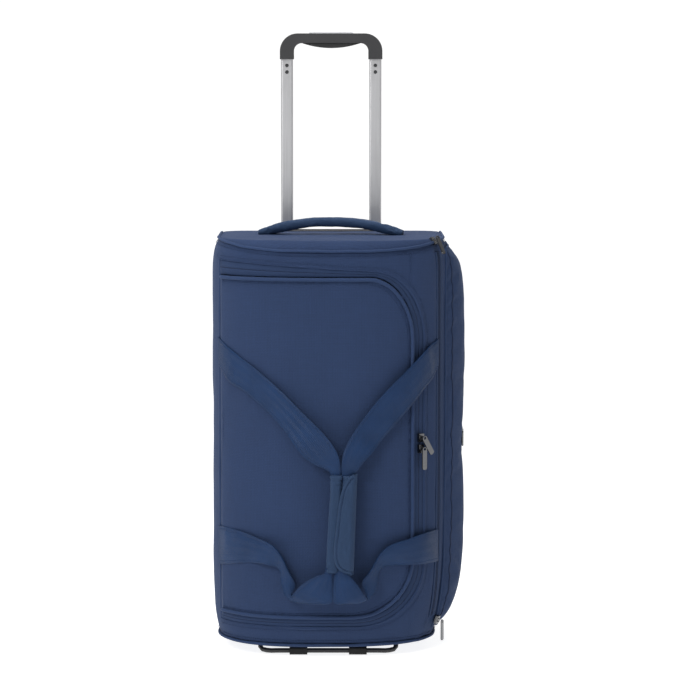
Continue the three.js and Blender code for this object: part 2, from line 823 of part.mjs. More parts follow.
let grip = upright(arch, gripFront, gripBack, 6)
  .subtract(block(-CHANNEL.half, CHANNEL.half, ...channelSides, CHANNEL.low, CHANNEL.high))
  .subtract(block(-34, 34, TUBE.y - 6, TUBE.y + 6, CHANNEL.low + 3.2, 930));
for (const [, side] of both) {
  const socket = roundedRectangle(side * TUBE.x, TUBE.y, TUBE.innerWidth + 0.6, TUBE.innerDepth + 0.6, 3);
  grip = grip
    .subtract(standing(socket, 860, TUBE.innerTop + 0.4))
    .subtract(rod(vec(side * ROD_X, TUBE.y, 880), vec(side * ROD_X, TUBE.y, 900), 2, 12));
}
add("trolley_grip", "blackPlastic", grip);

const PAD = { half: 44, drop: 7.2, halfDepth: 9 };
const lens = new THREE.Shape();
const padTop = GRIP.underside - 0.3;
lens.moveTo(-PAD.half, padTop);
lens.quadraticCurveTo(0, padTop - 2 * PAD.drop, PAD.half, padTop);
lens.closePath();
add("grip_pad", "rubber", upright(lens, TUBE.y - PAD.halfDepth, TUBE.y + PAD.halfDepth, 16));

// Release button and the bar under it, one moulding that rests on the two rods.
const button = block(-33.4, 33.4, TUBE.y - 5.5, TUBE.y + 5.5, 904.4, 912.4).add(
  block(-65, 65, TUBE.y - 3.5, TUBE.y + 3.5, 901.4, 904.4),
);
add("release_button", "button", button);

// ---------------------------------------------------------------- back rails and foot bar

for (const [name, side] of both) {
  const rail = roundedRectangle(side * 96, 335, 15, 440, 7);
  add("skid_rail_" + name, "blackPlastic", upright(rail, 150.4, 157, 4));
}

const [legLeft, legRight] = footLegs;
const bend = 9;
const barPath = [
  vec(legLeft, FOOT_LEG_Y, 20),
  vec(legLeft, FOOT_LEG_Y, 13),
  vec(legLeft + 2, FOOT.barY + 7, 7),
  vec(legLeft + bend + 4, FOOT.barY, FOOT.barZ),
  vec(legLeft + 3 * bend, FOOT.barY, FOOT.barZ),
  vec(FOOT.barX, FOOT.barY, FOOT.barZ),
  vec(legRight - 3 * bend, FOOT.barY, FOOT.barZ),
  vec(legRight - bend - 4, FOOT.barY, FOOT.barZ),
  vec(legRight - 2, FOOT.barY + 7, 7),
  vec(legRight, FOOT_LEG_Y, 13),
  vec(legRight, FOOT_LEG_Y, 20),
];
add("foot_bar", "blackPlastic", bar(barPath, FOOT.barRadius, 8, 34));
for (const [name, side] of both) {
  const x = FOOT.barX + side * FOOT.sleeveSpread;
  const section = roundedRectangle(FOOT.barY, FOOT.barZ, 13, 11, 3.1);
  const bore = new THREE.Path().absarc(FOOT.barY, FOOT.barZ, FOOT.barRadius + 0.5, 0, 2 * Math.PI, true);
  section.holes.push(bore);
  const geometry = extrude(section, 2 * FOOT.sleeveHalf, 4);
  geometry.rotateX(Math.PI / 2).rotateZ(Math.PI / 2);
  add("foot_sleeve_" + name, "rubber", geometry.translate(x - FOOT.sleeveHalf, 0, 0));
}

// ---------------------------------------------------------------- zip sliders and pullers

// A slider: a low body with a bail, local +Z along the zip and local -Y facing out.
function sliderSolid() {
  const body = block(-4.5, 4.5, -2.4, 2, -6, 6);
  const bail = block(-1.2, 1.2, -4.4, -2, -3, 3).subtract(block(-2, 2, -3.4, -2.4, -1.8, 1.8));
  return body.add(bail);
}

// A puller hanging from its ring: local origin at the ring's axis, hanging towards -Z.
function pullerSolid(length) {
  const plate = roundedRectangle(0, -length / 2 + 3, 8, length, 3.2);
  return upright(plate, -1, 1, 3).subtract(upright(roundedRectangle(0, 0.2, 4.4, 3.4, 1.2), -2, 2, 2));
}

// Each slider sits on the skin above a zip. "side" gives the puller's lean in the skin's own plane
// and "rest" how far it lies out over the bulge below it.
const LID_ZIP_X = (LID.right + LID_OPENING.right) / 2 + 1.5;
const SLIDERS = [
  { place: "lid", end: "upper", x: LID_ZIP_X, z: 322, lift: 3.2, side: 0.55, rest: 0, long: 31 },
  { place: "lid", end: "lower", x: LID_ZIP_X, z: 306, lift: 3.2, side: 0, rest: 0, long: 33 },
  { place: "pocket", end: "bottom", x: 153, z: 46, lift: 4, side: 0, rest: 0, long: 31 },
  { place: "pocket", end: "top", x: 147, z: 603, lift: 3.6, side: 0, rest: 0.45, long: 29 },
];
for (const { place, end, x, z, lift, side, rest, long } of SLIDERS) {
  const { point, normal } = onCrown(x, z, lift);
  const turn = Math.atan2(normal.x, -normal.y);
  const slope = Math.asin(normal.z);
  const slider = geometryOf(sliderSolid()).rotateX(-slope);
  add(`${place}_slider_${end}`, "steel", slider.rotateZ(turn).translate(point.x, point.y, point.z));
  const reach = 8.7;
  const puller = geometryOf(pullerSolid(long)).rotateY(-side).rotateX(-rest);
  puller.translate(0, -reach * Math.cos(slope), reach * Math.sin(slope));
  add(`${place}_puller_${end}`, "steel", puller.rotateZ(turn).translate(point.x, point.y, point.z));
}

// ---------------------------------------------------------------- origin under the box's centre

const extent = new THREE.Box3().setFromObject(bag);
bag.position.set(-(extent.min.x + extent.max.x) / 2, -(extent.min.y + extent.max.y) / 2, 0);

export default bag;
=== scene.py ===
import math

import bmesh
import bpy
import numpy as np
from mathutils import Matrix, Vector, noise

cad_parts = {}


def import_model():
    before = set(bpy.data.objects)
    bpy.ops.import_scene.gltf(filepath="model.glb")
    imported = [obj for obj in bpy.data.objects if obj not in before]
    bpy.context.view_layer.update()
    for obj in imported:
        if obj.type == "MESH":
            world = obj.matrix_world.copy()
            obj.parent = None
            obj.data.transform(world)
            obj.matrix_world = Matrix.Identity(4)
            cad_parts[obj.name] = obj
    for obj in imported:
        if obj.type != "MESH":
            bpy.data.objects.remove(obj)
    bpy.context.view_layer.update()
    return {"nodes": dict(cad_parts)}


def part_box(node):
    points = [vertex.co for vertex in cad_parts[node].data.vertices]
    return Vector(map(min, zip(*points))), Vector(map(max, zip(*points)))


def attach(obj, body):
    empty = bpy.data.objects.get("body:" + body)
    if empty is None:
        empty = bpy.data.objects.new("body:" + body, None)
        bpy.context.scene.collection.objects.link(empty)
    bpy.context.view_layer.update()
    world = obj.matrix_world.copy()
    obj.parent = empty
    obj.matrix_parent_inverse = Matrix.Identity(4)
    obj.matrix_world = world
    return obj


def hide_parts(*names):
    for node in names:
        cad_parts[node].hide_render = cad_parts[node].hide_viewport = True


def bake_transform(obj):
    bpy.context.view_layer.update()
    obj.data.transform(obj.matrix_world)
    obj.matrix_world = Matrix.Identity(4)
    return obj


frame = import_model()

# ---- the bag's own frame, in millimetres
# x = 0 midway between the trolley tubes, z = 0 on the floor, -y out of the lid.

TUBE_Y = 125  # the tubes' own y in this frame
tube_low, tube_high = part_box("inner_tube_left")
_, tube_high_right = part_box("inner_tube_right")
ORIGIN = np.array(
    [
        (tube_low[0] + tube_high_right[0]) * 500,
        (tube_low[1] + tube_high[1]) * 500 - TUBE_Y,
        0.0,
    ]
)

HALF, FRONT, BACK = 175.5, -160, 150  # half the width, the crown's y and the back's y
SIDE, CORNER = -20, 35  # where the crown meets the sides, and the rear corners' radius
POWER = 2.4  # the crown's superellipse
BOTTOM, TOP = 15, 608
TOP_SEAM, BOTTOM_SEAM, BACK_SEAM = 594, 19.5, 112
HINGE_X = -162
WEBBING_HALF = 19.5
LID = dict(right=120, bottom=60, top_left=556, top_right=556, top=(64, 90), low=(87, 80))
OPENING = dict(right=134, bottom=48, top_left=578, top_right=563.5, top=(72, 100), low=(96, 90))
SIDE_SCALE = 140  # mm of side per unit of the angle beyond the crown
SEAM_ANGLE = (BACK_SEAM - SIDE) / SIDE_SCALE


def tuck(z, left=0.0):
    """How far the skin draws in near its two ends; where left is 1, the lower corner is fuller."""
    rise = z - BOTTOM
    full, slim = 26 * np.exp(-rise / 45), 12 * np.exp(-rise / 26)
    return full + (slim - full) * left + 11 * np.exp(-(TOP - z) / 12)


def ahead(y):
    """1 in front of the bag's side, falling to 0 behind its middle."""
    t = np.clip((y - SIDE) / 80, 0, 1)
    return 1 - t * t * (3 - 2 * t)


def around(a, z):
    """A point of the skin: a from 0 to pi is the crown from left to right, beyond that the sides."""
    a, z = np.broadcast_arrays(np.asarray(a, float), np.asarray(z, float))
    c = np.cos(np.clip(a, 0, math.pi))
    s = np.sin(np.clip(a, 0, math.pi))
    drawn = tuck(z, np.clip(c, 0, 1) * ahead(SIDE - np.minimum(a, 0) * SIDE_SCALE))
    width, depth = HALF - drawn, SIDE - FRONT - drawn
    x = -width * np.sign(c) * np.abs(c) ** (2 / POWER)
    y = SIDE - depth * np.abs(s) ** (2 / POWER)
    y = np.where(a < 0, SIDE - a * SIDE_SCALE, y)
    y = np.where(a > math.pi, SIDE + (a - math.pi) * SIDE_SCALE, y)
    return np.stack([x, y, z], -1)


def angle_of(x, z):
    """The crown angle of the skin's point at x and z."""
    x, z = np.broadcast_arrays(np.asarray(x, float), np.asarray(z, float))
    share = np.ones(x.shape)
    for _ in range(8):
        width = HALF - tuck(z, np.where(x < 0, share, 0.0))
        share = np.clip(np.abs(x) / width, 0, 1) ** (POWER / 2)
    return np.arccos(-np.sign(x) * share)


def unit(v):
    return v / np.linalg.norm(v, axis=-1, keepdims=True)


def normal_at(a, z):
    da = around(a + 2e-3, z) - around(a - 2e-3, z)
    dz = around(a, z + 0.5) - around(a, z - 0.5)
    return unit(np.cross(da, dz))


def skin(a, z, lift):
    """The skin's point, raised along its normal by lift mm."""
    lift = np.asarray(lift, float)
    return around(a, z) + normal_at(a, z) * lift[..., None]


def on_crown(x, z, lift):
    return skin(angle_of(x, z), z, lift)


def laid(x, z, lift):
    """A line on the skin at x and z, raised by lift mm, and the skin's normals along it."""
    a = angle_of(x, z)
    return skin(a, z, lift), normal_at(a, z)


def groove_at(z):
    """The x of the groove that the side pocket's zip lies in."""
    return 158.5 - 0.9 * tuck(z)


def hump(distance, at, width):
    """1 at one distance, falling to 0 on both sides of it."""
    return np.exp(-(((distance - at) / width) ** 2))


def ripple(points, scale, seed):
    """Smooth noise, about -1 to 1, at each point; scale is the size of a wave in mm."""
    flat = np.asarray(points).reshape(-1, 3)
    out = [noise.noise(Vector(p) / scale + Vector((seed, seed * 1.7, -seed))) for p in flat]
    return np.array(out).reshape(np.asarray(points).shape[:-1]) * 1.6


def outline(shape, grow=0.0, cells=(24, 44, 24)):
    """A D shape's free edge from lower left to upper left, in three runs that meet in its corners."""
    left = HINGE_X + 0.5
    right, bottom = shape["right"] + grow, shape["bottom"] - grow
    (tx, tz), (lx, lz) = shape["top"], shape["low"]
    top_right = shape["top_right"] + grow
    low = (right - lx, bottom + lz)
    high = (right - tx, top_right - tz)

    def arc(centre, size, start, end):
        t = np.linspace(math.radians(start), math.radians(end), 16)
        return np.stack([centre[0] + size[0] * np.cos(t), centre[1] + size[1] * np.sin(t)], -1)

    runs = [
        np.vstack([[(left, bottom)], arc(low, (lx, lz), -90, -45)]),
        np.vstack([arc(low, (lx, lz), -45, 0), arc(high, (tx, tz), 0, 45)]),
        np.vstack([arc(high, (tx, tz), 45, 90), [(left, shape["top_left"] + grow)]]),
    ]
    return [resample(run, n + 1) for run, n in zip(runs, cells)]


def distance_along(line):
    """How far each point of a line lies from its first, in mm."""
    return np.concatenate([[0], np.cumsum(np.linalg.norm(np.diff(line, axis=0), axis=1))])


def sample(columns, at, stops):
    """Columns of values known at the places at, read at other places."""
    columns = np.asarray(columns, float)
    return np.stack([np.interp(stops, at, columns[:, k]) for k in range(columns.shape[1])], -1)


def resample(points, count):
    """A polyline cut into evenly spaced points."""
    d = distance_along(points)
    return sample(points, d, np.linspace(0, d[-1], count))


def joined(runs):
    """Three runs as one line, with the points that they share kept once."""
    return np.vstack([runs[0], runs[1][1:], runs[2][1:]])


def between(p, q, start, end, t):
    """Where a straight move from p to q is at time t."""
    return (end - t) / (end - start) * p + (t - start) / (end - start) * q


def smooth_path(points, count):
    """A centripetal Catmull-Rom curve through points of any number of columns, evenly spaced."""
    p = np.asarray(points, float)
    p = np.vstack([2 * p[0] - p[1], p, 2 * p[-1] - p[-2]])
    out = []
    for i in range(1, len(p) - 2):
        four = p[i - 1 : i + 3]
        knots = [0.0]
        for u, v in zip(four, four[1:]):
            knots.append(knots[-1] + max(np.linalg.norm((v - u)[:3]) ** 0.5, 1e-6))
        for t in np.linspace(knots[1], knots[2], 12, endpoint=False):
            a = [between(four[n], four[n + 1], knots[n], knots[n + 1], t) for n in range(3)]
            b = [between(a[n], a[n + 1], knots[n], knots[n + 2], t) for n in range(2)]
            out.append(between(*b, knots[1], knots[2], t))
    out.append(p[-2])
    out = np.array(out)
    d = distance_along(out[:, :3])
    return sample(out, d, np.linspace(0, d[-1], count))


# ---- materials


def srgb(*rgb):
    return tuple(((v / 255 + 0.055) / 1.055) ** 2.4 if v > 10 else v / 255 / 12.92 for v in rgb)


class Paint:
    """A procedural material: helpers that add nodes to one Principled shader."""

    def __init__(self, name, colour, rough, **sockets):
        self.material = bpy.data.materials.new(name)
        self.material.use_nodes = True
        self.tree = self.material.node_tree
        self.shader = self.tree.nodes["Principled BSDF"]
        self.set(self.shader, "Base Color", (*colour, 1))
        self.set(self.shader, "Roughness", rough)
        for key, value in sockets.items():
            self.set(self.shader, key.replace("_", " "), value)
        self.height = None

    def set(self, node, socket, value):
        if hasattr(value, "is_output"):
            self.tree.links.new(value, node.inputs[socket])
        else:
            node.inputs[socket].default_value = value

    def add(self, kind, out=0, props=None, **inputs):
        node = self.tree.nodes.new("ShaderNode" + kind)
        for key, value in (props or {}).items():
            setattr(node, key, value)
        for key, value in inputs.items():
            numbered = key[0] == "i" and key[1:].isdigit()
            self.set(node, int(key[1:]) if numbered else key.replace("_", " "), value)
        return node.outputs[out]

    def math(self, op, a, b=0.0):
        return self.add("Math", props=dict(operation=op), i0=a, i1=b)

    def place(self, uv, scale=(1, 1, 1)):
        if uv:
            source = self.add("UVMap", props=dict(uv_map="weave"))
        else:
            source = self.add("TexCoord", out="Object")
        return self.add("Mapping", Vector=source, Scale=scale)

    def noise(self, uv, scale, stretch=(1, 1, 1), detail=3.0):
        return self.add("TexNoise", Vector=self.place(uv, stretch), Scale=scale, Detail=detail)

    def bump(self, height, strength, distance):
        inputs = dict(Height=height, Strength=strength, Distance=distance)
        if self.height is not None:
            inputs["Normal"] = self.height
        self.height = self.add("Bump", **inputs)
        self.set(self.shader, "Normal", self.height)

    def shade(self, factor, low, high):
        """The base colour runs from low to high times itself as factor goes from 0 to 1."""
        now = self.shader.inputs["Base Color"]
        source = now.links[0].from_socket if now.links else tuple(now.default_value)
        times = dict(data_type="RGBA", blend_type="MULTIPLY")
        a = self.add("Mix", out=2, props=times, i0=1.0, i6=source, i7=(low, low, low, 1))
        b = self.add("Mix", out=2, props=times, i0=1.0, i6=source, i7=(high, high, high, 1))
        mixed = self.add("Mix", out=2, props=dict(data_type="RGBA"), i0=factor, i6=a, i7=b)
        self.set(self.shader, "Base Color", mixed)

    def roughen(self, factor, low, high):
        spread = self.add("MapRange", Value=factor, To_Min=low, To_Max=high)
        self.set(self.shader, "Roughness", spread)


def woven(name, colour, pitch=1.15, rough=0.85, sheen=0.06, uv=True, grain=0.35):
    """Plain-weave polyester: raised threads, slubs along the thread, soft changes of tone."""
    p = Paint(name, colour, rough, Sheen_Weight=sheen, Sheen_Roughness=0.5, Specular_IOR_Level=0.22)
    p.set(p.shader, "Sheen Tint", (0.45, 0.6, 1.0, 1.0))
    turn = 0.5 * 1000 * 2 * math.pi / (20 * pitch)  # a wave texture turns 20 radians per unit of scale
    across, along = dict(bands_direction="X"), dict(bands_direction="Y" if uv else "Z")
    warp = p.add("TexWave", out=1, props=across, Vector=p.place(uv), Scale=turn)
    weft = p.add("TexWave", out=1, props=along, Vector=p.place(uv), Scale=turn)
    over = p.add("TexChecker", out=1, Vector=p.place(uv), Scale=1000 / pitch / 2)
    thread = p.add("Mix", props=dict(data_type="FLOAT"), i0=over, i2=warp, i3=weft)
    slub_u = p.noise(uv, 90, (0.25, 9, 1))
    slub_v = p.noise(uv, 90, (9, 0.25, 1))
    slub = p.math("MULTIPLY", p.math("ADD", slub_u, slub_v), 0.5)
    p.shade(thread, 0.9, 1.08)
    p.shade(slub, 0.72, 1.28)
    p.shade(p.noise(uv, 6, detail=2.0), 0.9, 1.1)
    p.bump(thread, grain, 0.0004)
    p.bump(slub, 0.25, 0.0006)
    p.bump(p.noise(uv, 28, detail=2.0), 0.12, 0.0025)
    p.roughen(slub, rough - 0.06, rough + 0.08)
    return p


def webbing_paint(name, colour):
    """Tight herringbone webbing with a satin face, painted satin highlight patches and darker edges."""
    p = Paint(name, colour, 0.5, Sheen_Weight=0.02, Sheen_Roughness=0.3, Specular_IOR_Level=0.2)
    split = p.add("SeparateXYZ", Vector=p.place(True))
    u, v = split, split.node.outputs[1]
    chevron = p.math("ADD", p.math("PINGPONG", u, 0.0052), v)
    twill = p.math("PINGPONG", p.math("MULTIPLY", chevron, 1 / 0.0007), 1.0)
    rib = p.math("PINGPONG", p.math("MULTIPLY", u, 1 / 0.0011), 1.0)
    edge = p.math("ABSOLUTE", u)
    rim = p.add("MapRange", Value=edge, From_Min=0.0175, From_Max=0.0195)
    p.shade(twill, 0.8, 1.12)
    p.shade(rib, 0.93, 1.05)
    p.shade(rim, 1.0, 0.8)
    # painted highlight: broad noise patches lighten and darken the colour to stand in for satin highlights
    p.shade(p.noise(True, 24, detail=1.0), 0.72, 1.34)
    p.bump(twill, 0.4, 0.0005)
    p.bump(p.noise(True, 20, detail=1.0), 0.45, 0.004)
    p.bump(rib, 0.25, 0.0005)
    p.roughen(p.noise(True, 30), 0.4, 0.64)
    return p


def moulded(name, colour, rough, grain=900, strength=0.12, **sockets):
    """Moulded plastic or rubber: a fine spark-eroded grain, handling marks and slightly worn gloss."""
    p = Paint(name, colour, rough, **sockets)
    p.bump(p.noise(False, grain, detail=2.0), strength, 0.0003)
    p.bump(p.noise(False, 40, detail=2.0), 0.05, 0.0012)
    p.shade(p.noise(False, 22, detail=5.0), 0.82, 1.2)
    p.roughen(p.noise(False, 60, (1, 1, 0.35), 4.0), rough - 0.09, rough + 0.1)
    return p


def metal(name, colour, rough, stretch=(1, 1, 0.02), grain=700):
    """Metal with drawn lines along its length and a faint cloud of handling."""
    p = Paint(name, colour, rough, Metallic=1.0)
    lines = p.noise(False, grain, stretch, 3.0)
    p.shade(lines, 0.88, 1.1)
    p.shade(p.noise(False, 9, detail=3.0), 0.93, 1.06)
    p.bump(lines, 0.08, 0.0002)
    p.roughen(p.noise(False, 30, (1, 1, 0.3)), rough - 0.07, rough + 0.09)
    return p


SHELL = woven("shell_weave", srgb(36, 52, 83)).material
LINER = woven("lining_cloth", srgb(96, 100, 108), pitch=0.8, sheen=0.04, grain=0.2).material
PIPING = woven("piping_cloth", srgb(38, 55, 87), pitch=0.8, grain=0.25).material
TAPE = woven("zip_tape_twill", srgb(35, 51, 81), pitch=0.7, grain=0.3, sheen=0.04).material
PADDED = woven("wrap_cloth", srgb(33, 53, 81), pitch=0.9, rough=0.75, sheen=0.1).material
WEBBING = webbing_paint("webbing", srgb(20, 46, 82)).material
COIL = moulded("zip_coil", srgb(22, 34, 60), 0.6, Specular_IOR_Level=0.2).material
THREAD = woven("sewing_thread", srgb(33, 49, 79), pitch=0.5, uv=False, sheen=0.05).material
BLACK = moulded("black_plastic", srgb(40, 40, 42), 0.5).material
GREY = moulded("grey_plastic", srgb(58, 58, 61), 0.45).material
RUBBER = moulded("rubber", srgb(26, 26, 27), 0.75, grain=500, strength=0.25).material
BUTTON = moulded("button_plastic", srgb(214, 216, 220), 0.35).material
ALUMINIUM = metal("tube_aluminium", (0.68, 0.68, 0.695), 0.36).material
STEEL = metal("dark_steel", (0.15, 0.153, 0.16), 0.24, (1, 1, 1), 400).material

# ---- mesh tools


def world(points):
    return (np.asarray(points, float) + ORIGIN) * 0.001


def placed(name, data):
    """A new object in the scene."""
    obj = bpy.data.objects.new(name, data)
    bpy.context.scene.collection.objects.link(obj)
    return obj


def make(name, verts, faces, material, uv=None, smooth=True):
    """A mesh object from millimetre points; uv is one (u, v) in metres for each vertex."""
    mesh = bpy.data.meshes.new(name)
    mesh.from_pydata([tuple(v) for v in world(verts)], [], [tuple(f) for f in faces])
    mesh.materials.append(material)
    if uv is not None:
        layer = mesh.uv_layers.new(name="weave")
        uv = np.asarray(uv, float)
        loops = np.empty(len(mesh.loops), int)
        mesh.loops.foreach_get("vertex_index", loops)
        layer.data.foreach_set("uv", uv[loops].ravel())
    mesh.polygons.foreach_set("use_smooth", [smooth] * len(mesh.polygons))
    mesh.update()
    return placed(name, mesh)


def lengths(points):
    """How far each point of a grid lies along its column, in mm."""
    step = np.linalg.norm(np.diff(points, axis=0), axis=-1)
    return np.concatenate([np.zeros((1, points.shape[1])), np.cumsum(step, axis=0)])


def grid_faces(n, m, close=False, base=0, flip=False):
    faces = []
    for i in range(n - 1):
        for j in range(m if close else m - 1):
            k = (j + 1) % m
            low, high = base + i * m, base + (i + 1) * m
            face = (low + j, high + j, high + k, low + k)
            faces.append(face[::-1] if flip else face)
    return faces


def sheet_mesh(name, points, material, flip=False):
    """A grid of points as a smooth sheet whose uv is its real size in metres."""
    points = np.asarray(points, float)
    n, m, _ = points.shape
    u = lengths(points)
    v = lengths(points.transpose(1, 0, 2)).T
    uv = np.stack([u, v], -1).reshape(-1, 2) * 0.001
    return make(name, points.reshape(-1, 3), grid_faces(n, m, flip=flip), material, uv)


def modifier(obj, kind, **settings):
    m = obj.modifiers.new(kind.lower(), kind)
    for key, value in settings.items():
        setattr(m, key, value)
    return m


def face_out(obj, outward, face=None):
    """Turns a sheet round where the given face, or its middle one, doesn't look outward."""
    faces = obj.data.polygons
    if faces[len(faces) // 2 if face is None else face].normal.dot(Vector(outward)) < 0:
        obj.data.flip_normals()


def points_of(obj):
    """A mesh's points in the bag's own frame."""
    return np.array([v.co for v in obj.data.vertices]) * 1000 - ORIGIN


def move_to(obj, points):
    for v, p in zip(obj.data.vertices, world(points)):
        v.co = p


def settle(obj):
    """Applies every modifier."""
    bpy.context.view_layer.update()
    done = bpy.data.meshes.new_from_object(obj.evaluated_get(bpy.context.evaluated_depsgraph_get()))
    obj.modifiers.clear()
    obj.data = done
    return obj


def thicken(obj, mm, inner=None):
    if inner is not None:
        obj.data.materials.append(inner)
    extra = dict(material_offset=1) if inner is not None else {}
    modifier(obj, "SOLIDIFY", thickness=mm * 0.001, offset=-1, use_even_offset=False, **extra)
    return settle(obj)


CLOTH = dict(
    quality=6,
    mass=0.2,
    tension_stiffness=12,
    compression_stiffness=12,
    shear_stiffness=4,
    bending_stiffness=0.3,
    use_pressure=True,
    shrink_min=-0.02,
)


def fill_out(obj, cap, held, pressure=4.0, share=1.0):
    """Fills a padded piece as cloth under pressure: held points stay, the rest move up to share x cap mm."""
    mesh = obj.data
    before = np.array([v.co for v in mesh.vertices])
    group = obj.vertex_groups.new(name="held")
    group.add([int(i) for i in np.flatnonzero(held)], 1.0, "REPLACE")
    cloth = obj.modifiers.new("cloth", "CLOTH")
    for key, value in CLOTH.items():
        setattr(cloth.settings, key, value)
    cloth.settings.uniform_pressure_force = pressure
    cloth.settings.vertex_group_mass = "held"
    cloth.settings.effector_weights.gravity = 0
    cloth.collision_settings.use_collision = False
    stage = bpy.context.scene
    for frame_number in range(1, 21):
        stage.frame_set(frame_number)
    filled = obj.evaluated_get(bpy.context.evaluated_depsgraph_get())
    after = np.array([v.co for v in filled.data.vertices])
    obj.modifiers.remove(cloth)
    obj.vertex_groups.remove(group)
    stage.frame_set(1)
    move = (after - before) * 1000
    far = np.maximum(np.linalg.norm(move, axis=1, keepdims=True), 1e-9)
    limit = cap * np.reshape(share, (-1, 1))
    move *= limit * np.tanh(far / cap) / far
    for v, p in zip(mesh.vertices, before + move * 0.001):
        v.co = p
    return obj


def frames_along(path, up):
    """Tangent, side and up at each point: turned as little as possible, or kept near a given up."""
    path = np.asarray(path, float)
    t = unit(np.gradient(path, axis=0))
    ups = np.empty_like(path)
    last = np.array([0, 0, 1.0]) if abs(t[0][2]) < 0.9 else np.array([0, 1.0, 0])
    for i in range(len(path)):
        want = last if up is None else np.asarray(up[i] if np.ndim(up) > 1 else up, float)
        ups[i] = last = unit(want - t[i] * np.dot(want, t[i]))
    return t, np.cross(ups, t), ups


def sweep(name, path, section, material, up=None, scale=None, closed=False):
    """A closed section, (side, up) pairs in mm, along a path. scale is one (side, up) per point."""
    path = np.asarray(path, float)
    section = np.asarray(section, float)
    n, m = len(path), len(section)
    _, side, ups = frames_along(path, up)
    scale = np.ones((n, 2)) * (1 if scale is None else np.asarray(scale, float).reshape(n, -1))
    rings = (
        path[:, None]
        + side[:, None] * (section[None, :, 0] * scale[:, :1])[..., None]
        + ups[:, None] * (section[None, :, 1] * scale[:, 1:])[..., None]
    )
    grid = np.meshgrid(distance_along(path), distance_along(section), indexing="ij")
    uv = np.stack(grid, -1).reshape(-1, 2)[:, ::-1] * 0.001
    faces = grid_faces(n, m, close=True)
    verts = rings.reshape(-1, 3)
    if closed:
        last = (n - 1) * m
        faces += [(last + j, j, (j + 1) % m, last + (j + 1) % m) for j in range(m)]
    else:
        faces += [tuple(range(m)), tuple(range((n - 1) * m, n * m))[::-1]]
    obj = make(name, verts, faces, material, uv)
    tidy(obj)
    return obj


def tidy(obj):
    """Turns the faces of a closed mesh outwards."""
    bm = bmesh.new()
    bm.from_mesh(obj.data)
    bmesh.ops.recalc_face_normals(bm, faces=bm.faces)
    bm.to_mesh(obj.data)
    bm.free()


def circle(radius, sides):
    t = np.linspace(0, 2 * math.pi, sides, endpoint=False)
    return np.stack([radius * np.cos(t), radius * np.sin(t)], -1)


def rounded(width, height, radius, steps=4):
    points = []
    for cx, cy, start in (
        (width / 2 - radius, height / 2 - radius, 0),
        (-width / 2 + radius, height / 2 - radius, 90),
        (-width / 2 + radius, -height / 2 + radius, 180),
        (width / 2 - radius, -height / 2 + radius, 270),
    ):
        for k in range(steps + 1):
            a = math.radians(start + 90 * k / steps)
            points.append((cx + radius * math.cos(a), cy + radius * math.sin(a)))
    return np.array(points)


def join(name, parts):
    """Makes several objects one, with their materials kept."""
    for part in parts:
        settle(part)
    bm = bmesh.new()
    slots = []
    for part in parts:
        start = len(bm.faces)
        bm.from_mesh(part.data)
        bm.faces.ensure_lookup_table()
        for face in bm.faces[start:]:
            material = part.data.materials[face.material_index]
            if material not in slots:
                slots.append(material)
            face.material_index = slots.index(material)
    mesh = bpy.data.meshes.new(name)
    bm.to_mesh(mesh)
    bm.free()
    for material in slots:
        mesh.materials.append(material)
    for part in parts:
        bpy.data.objects.remove(part)
    return placed(name, mesh)


def strokes(name, path, normals, material, pitch=3.4, length=2.3, radius=0.38, across=False):
    """Stitches or zip teeth: a row of small rounded bars on a path, lying along it or across it."""
    d = distance_along(path)
    stops = np.arange(pitch / 2, d[-1], pitch)
    points, normal = sample(path, d, stops), sample(normals, d, stops)
    run = unit(sample(path, d, stops + 0.5) - sample(path, d, stops - 0.5))
    side = np.cross(run, normal)
    long_way, short_way = (side, run) if across else (run, side)
    verts, faces = [], []
    stations = [(-0.5, 0.35), (-0.38, 1.0), (0.38, 1.0), (0.5, 0.35)]
    for p, l, s, n in zip(points, long_way, short_way, normal):
        base = len(verts)
        for at, size in stations:
            for k in range(6):
                a = math.pi * k / 3
                spoke = (s * math.cos(a) + n * math.sin(a)) * radius * size
                verts.append(p + l * length * at + spoke)
        faces += grid_faces(4, 6, close=True, base=base)
        faces += [tuple(range(base, base + 6)), tuple(range(base + 18, base + 24))[::-1]]
    obj = make(name, verts, faces, material, np.asarray(verts)[:, ::2] * 0.001)
    tidy(obj)
    return obj


def cut(obj, *cutters):
    for cutter in cutters:
        modifier(obj, "BOOLEAN", operation="DIFFERENCE", object=cutter, solver="FAST")
    settle(obj)


GIRTH_A = np.linspace(-1.4, math.pi + 1.4, 400)
GIRTH_MM = distance_along(around(GIRTH_A, 300.0))


def panel(name, a, z, lift, material, close=False, lining=LINER, thick=4.0):
    """A cloth panel over a grid of (a, z), thick inwards, with its weave upright and level."""
    points = skin(a, z, lift)
    n, m = a.shape
    uv = np.stack([np.interp(a, GIRTH_A, GIRTH_MM), z], -1).reshape(-1, 2) * 0.001
    obj = make(name, points.reshape(-1, 3), grid_faces(n, m, close=close), material, uv)
    outward = normal_at(a, z)[n // 2, m // 2]
    face_out(obj, outward, (n // 2) * (m if close else m - 1) + m // 2)
    return thicken(obj, thick, lining) if thick else obj


def nearest(points, line):
    """How far each point of a grid lies from a line's nearest point, in mm."""
    return np.min(np.linalg.norm(points[:, :, None] - line[None, None], axis=-1), axis=-1)


def apart(points, edge):
    """How far each row of a grid lies from one of its rows, in mm."""
    return np.linalg.norm(points - points[edge][None], axis=-1)


def creases(points, seed):
    """Soft unevenness of stuffed cloth in mm: broad hollows and a few long creases."""
    broad = 0.9 * ripple(points, 95, seed)
    fine = 0.35 * ripple(points, 32, seed + 5)
    stretched = points * np.array([1.0, 1.0, 0.35])
    return broad + fine + 0.35 * ripple(stretched, 24, seed + 9)


def pucker(points, distance, seed):
    """Gathers where a seam draws the cloth in."""
    gathers = 0.5 * ripple(points, 7.5, seed) * np.exp(-distance / 9)
    return gathers - 0.9 * hump(distance, 0, 2.2)


